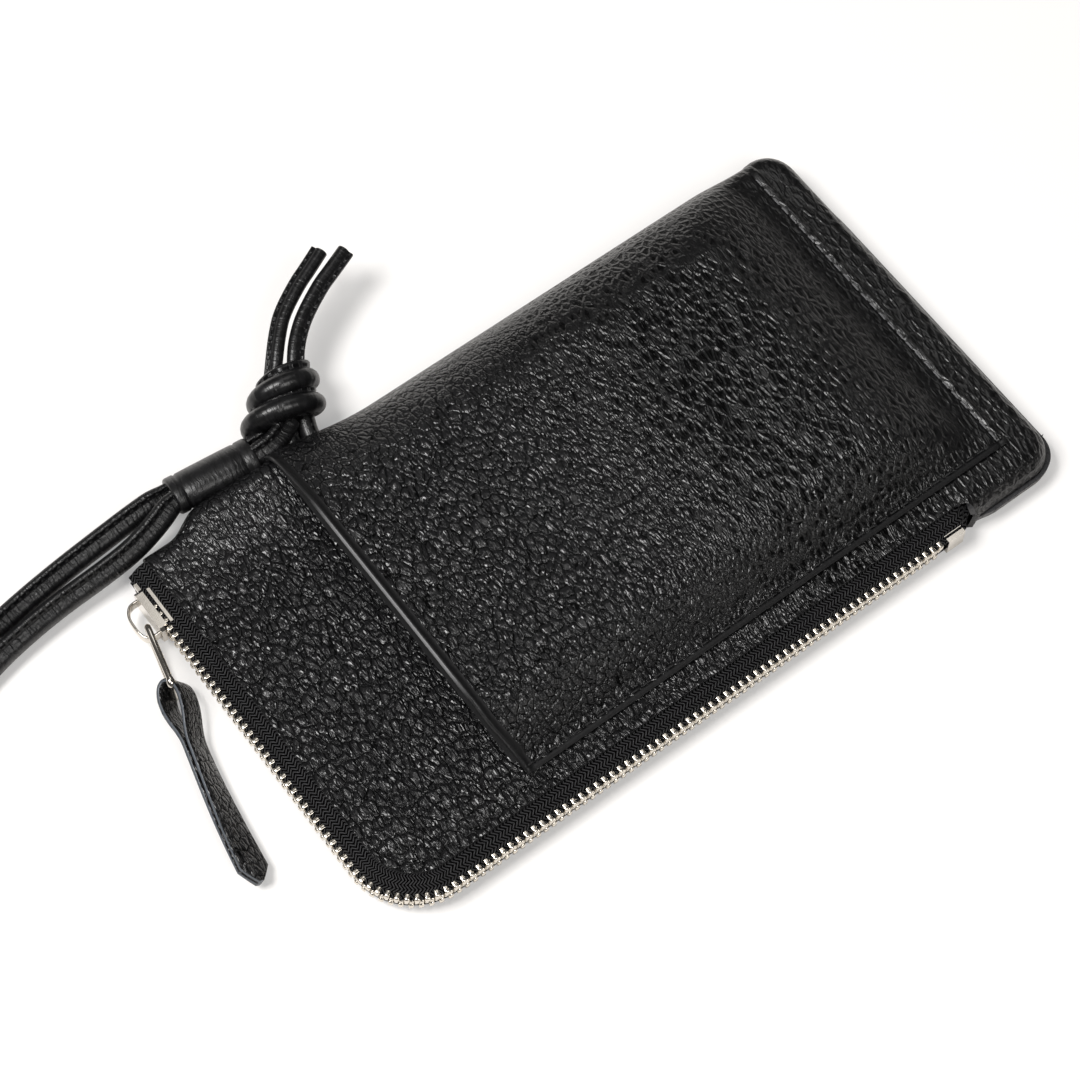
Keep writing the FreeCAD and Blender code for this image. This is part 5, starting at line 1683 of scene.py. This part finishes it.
@dataclass
class Seams:
    """The visible lines of thread."""

    finishes: Finishes
    pitch: float = 3.2
    stitch: float = 2.5
    thick: float = 0.29
    end_in: float = 2.2
    side_in: float = 1.7

    def bar(self, place: np.ndarray, ahead: np.ndarray) -> Form:
        """Make one stitch that dips into the leather at both ends.

        Args:
            place: Middle of the stitch.
            ahead: Unit vector along the seam.

        Returns:
            The stitch.
        """
        share = np.linspace(-1.0, 1.0, 7)[:, None]
        line = place + ahead * (share * self.stitch / 2) + UP * (0.12 - 0.5 * share ** 4)
        thick = 0.75 + 0.25 * (1 - share[:, 0] ** 2)
        ring = rounded_section(self.thick, self.thick * 0.8, 8)
        return swept_form(line, np.cross(UP, ahead), ring, True, thick)

    def straight(self, start: Point, end: Point) -> List[Form]:
        """Sew a straight seam."""
        first = np.array(start)
        run = np.array(end) - first
        length = float(np.linalg.norm(run))
        count = int(length / self.pitch)
        return [self.bar(first + run * ((index + 0.5) / count), run / length) for index in range(count)]

    def zip_seam(self) -> List[Form]:
        """Sew the seam beside the zip."""
        path = ZipPath(SIZES.fold_y - 6.2, SIZES.notch_x, SIZES.tape_show + self.end_in)
        forms = []
        for index in range(int(path.length / self.pitch)):
            place, outward = path.at((index + 0.5) * self.pitch)
            forms.append(self.bar(place + UP * (SIZES.top - 0.95), np.cross(UP, outward)))
        return forms

    def build(self) -> None:
        """Sew the seams."""
        shelf = SIZES.top + SIZES.leather
        end_x = SIZES.pocket_end_x - self.end_in
        side_y = SIZES.pocket_side_y + self.side_in
        end = self.straight((end_x, side_y, shelf - 0.25), (end_x, SIZES.fold_y - 5.2, shelf - 0.25))
        side_start = (SIZES.mouth_x + 2.2, side_y, shelf - 0.32)
        side = self.straight(side_start, (end_x - 3.2, side_y, shelf - 0.32))
        pale, dark = self.finishes.pale_thread, self.finishes.dark_thread
        for name, forms, thread, slot in (("pocket_end", end, pale, Slot.PALE_THREAD),
                                          ("pocket_side", side, dark, Slot.DARK_THREAD),
                                          ("zip", self.zip_seam(), dark, Slot.DARK_THREAD)):
            piece = joined(forms).piece(f"thread_of_{name}", thread, smooth=60.0)
            settle(piece, slot, f"stitch_{name}")


@dataclass
class Studio:
    """Floor, light and camera."""

    azimuth: float = -36.417
    elevation: float = 63.728
    roll: float = -0.313
    distance: float = 676.96
    target: Point = (-14.156, 3.381, 5.0)
    lens: float = 99.04
    floor_half: float = 2500.0
    floor_drop: float = 0.05

    def camera(self) -> None:
        """Stand the camera where the photograph was taken from."""
        azimuth, elevation = math.radians(self.azimuth), math.radians(self.elevation)
        back = Vector((math.sin(azimuth) * math.cos(elevation), -math.cos(azimuth) * math.cos(elevation),
                       math.sin(elevation)))
        right = (-back).cross(Vector(UP)).normalized()
        up = right.cross(-back)
        roll = math.radians(self.roll)
        rolled_right = right * math.cos(roll) + up * math.sin(roll)
        rolled_up = up * math.cos(roll) - right * math.sin(roll)
        data = bpy.data.cameras.new("photo_camera")
        data.lens = self.lens
        data.sensor_width = 36.0
        data.clip_start = 0.01
        data.clip_end = 20.0
        camera = linked(bpy.data.objects.new("photo_camera", data))
        turn = Matrix((rolled_right, rolled_up, back)).transposed().to_4x4()
        camera.matrix_world = Matrix.Translation((Vector(self.target) + back * self.distance) * MM) @ turn
        bpy.context.scene.camera = camera

    def floor(self) -> None:
        """Lay a pale floor that looks white and keeps the shadow."""
        graph = Graph("pale_floor")
        matt = graph.shader("BsdfDiffuse", {"Color": (0.985, 0.965, 0.945, 1.0)})
        glow = graph.shader("Emission", {"Color": WHITE, "Strength": 1.0})
        finish = graph.finish(graph.mixed(graph.seen() * 0.3, matt, glow))
        corners = ((-1, -1), (1, -1), (1, 1), (-1, 1))
        points = [(x * self.floor_half, y * self.floor_half, -self.floor_drop) for x, y in corners]
        Form(np.array(points), [(0, 1, 2, 3)]).piece("floor", finish)

    def lamp(self, name: str, place: Point, size: float, power: float, colour: Colour) -> None:
        """Hang a soft lamp that looks at the pouch.

        Args:
            name: Name of the lamp.
            place: Where it hangs, in metres.
            size: Side of its square, in metres.
            power: Its power in watts.
            colour: Colour of its light.
        """
        data = bpy.data.lights.new(name, "AREA")
        data.size = size
        data.energy = power
        data.color = colour
        lamp = linked(bpy.data.objects.new(name, data))
        lamp.location = place
        lamp.rotation_mode = "QUATERNION"
        lamp.rotation_quaternion = (-Vector(place)).to_track_quat("-Z", "Y")

    def world(self) -> None:
        """Fill the room with a soft even light."""
        world = bpy.data.worlds.new("studio")
        bpy.context.scene.world = world
        graph = Graph("studio", world)
        dim = graph.shader("Background", {"Color": (1.0, 0.985, 0.97, 1.0), "Strength": 0.1})
        white = graph.shader("Background", {"Color": WHITE})
        graph.finish(graph.mixed(graph.seen(), dim, white), "World")

    def build(self) -> None:
        """Set up the studio."""
        bpy.context.scene.view_settings.view_transform = "Standard"
        self.camera()
        self.floor()
        self.world()
        self.lamp("key", (-0.59, 0.18, 1.14), 0.5, 16.0, (1.0, 0.99, 0.98))
        self.lamp("fill", (-0.05, -0.75, 1.0), 0.45, 4.5, (1.0, 0.985, 0.965))
        self.lamp("top", (0.34, 0.46, 1.17), 0.55, 1.4, (1.0, 0.985, 0.965))


def main() -> None:
    """Build every sub-assembly in order."""
    logging.basicConfig(level=logging.INFO, format="%(name)s: %(message)s")
    finishes = Finishes()
    Studio().build()
    Strap(finishes).build()
    LeatherBody(finishes).build()
    PhonePocket(finishes).build()
    Linings(finishes).build()
    Zip(finishes).build()
    Pull(finishes).build()
    Seams(finishes).build()


if __name__ == "__main__":
    main()
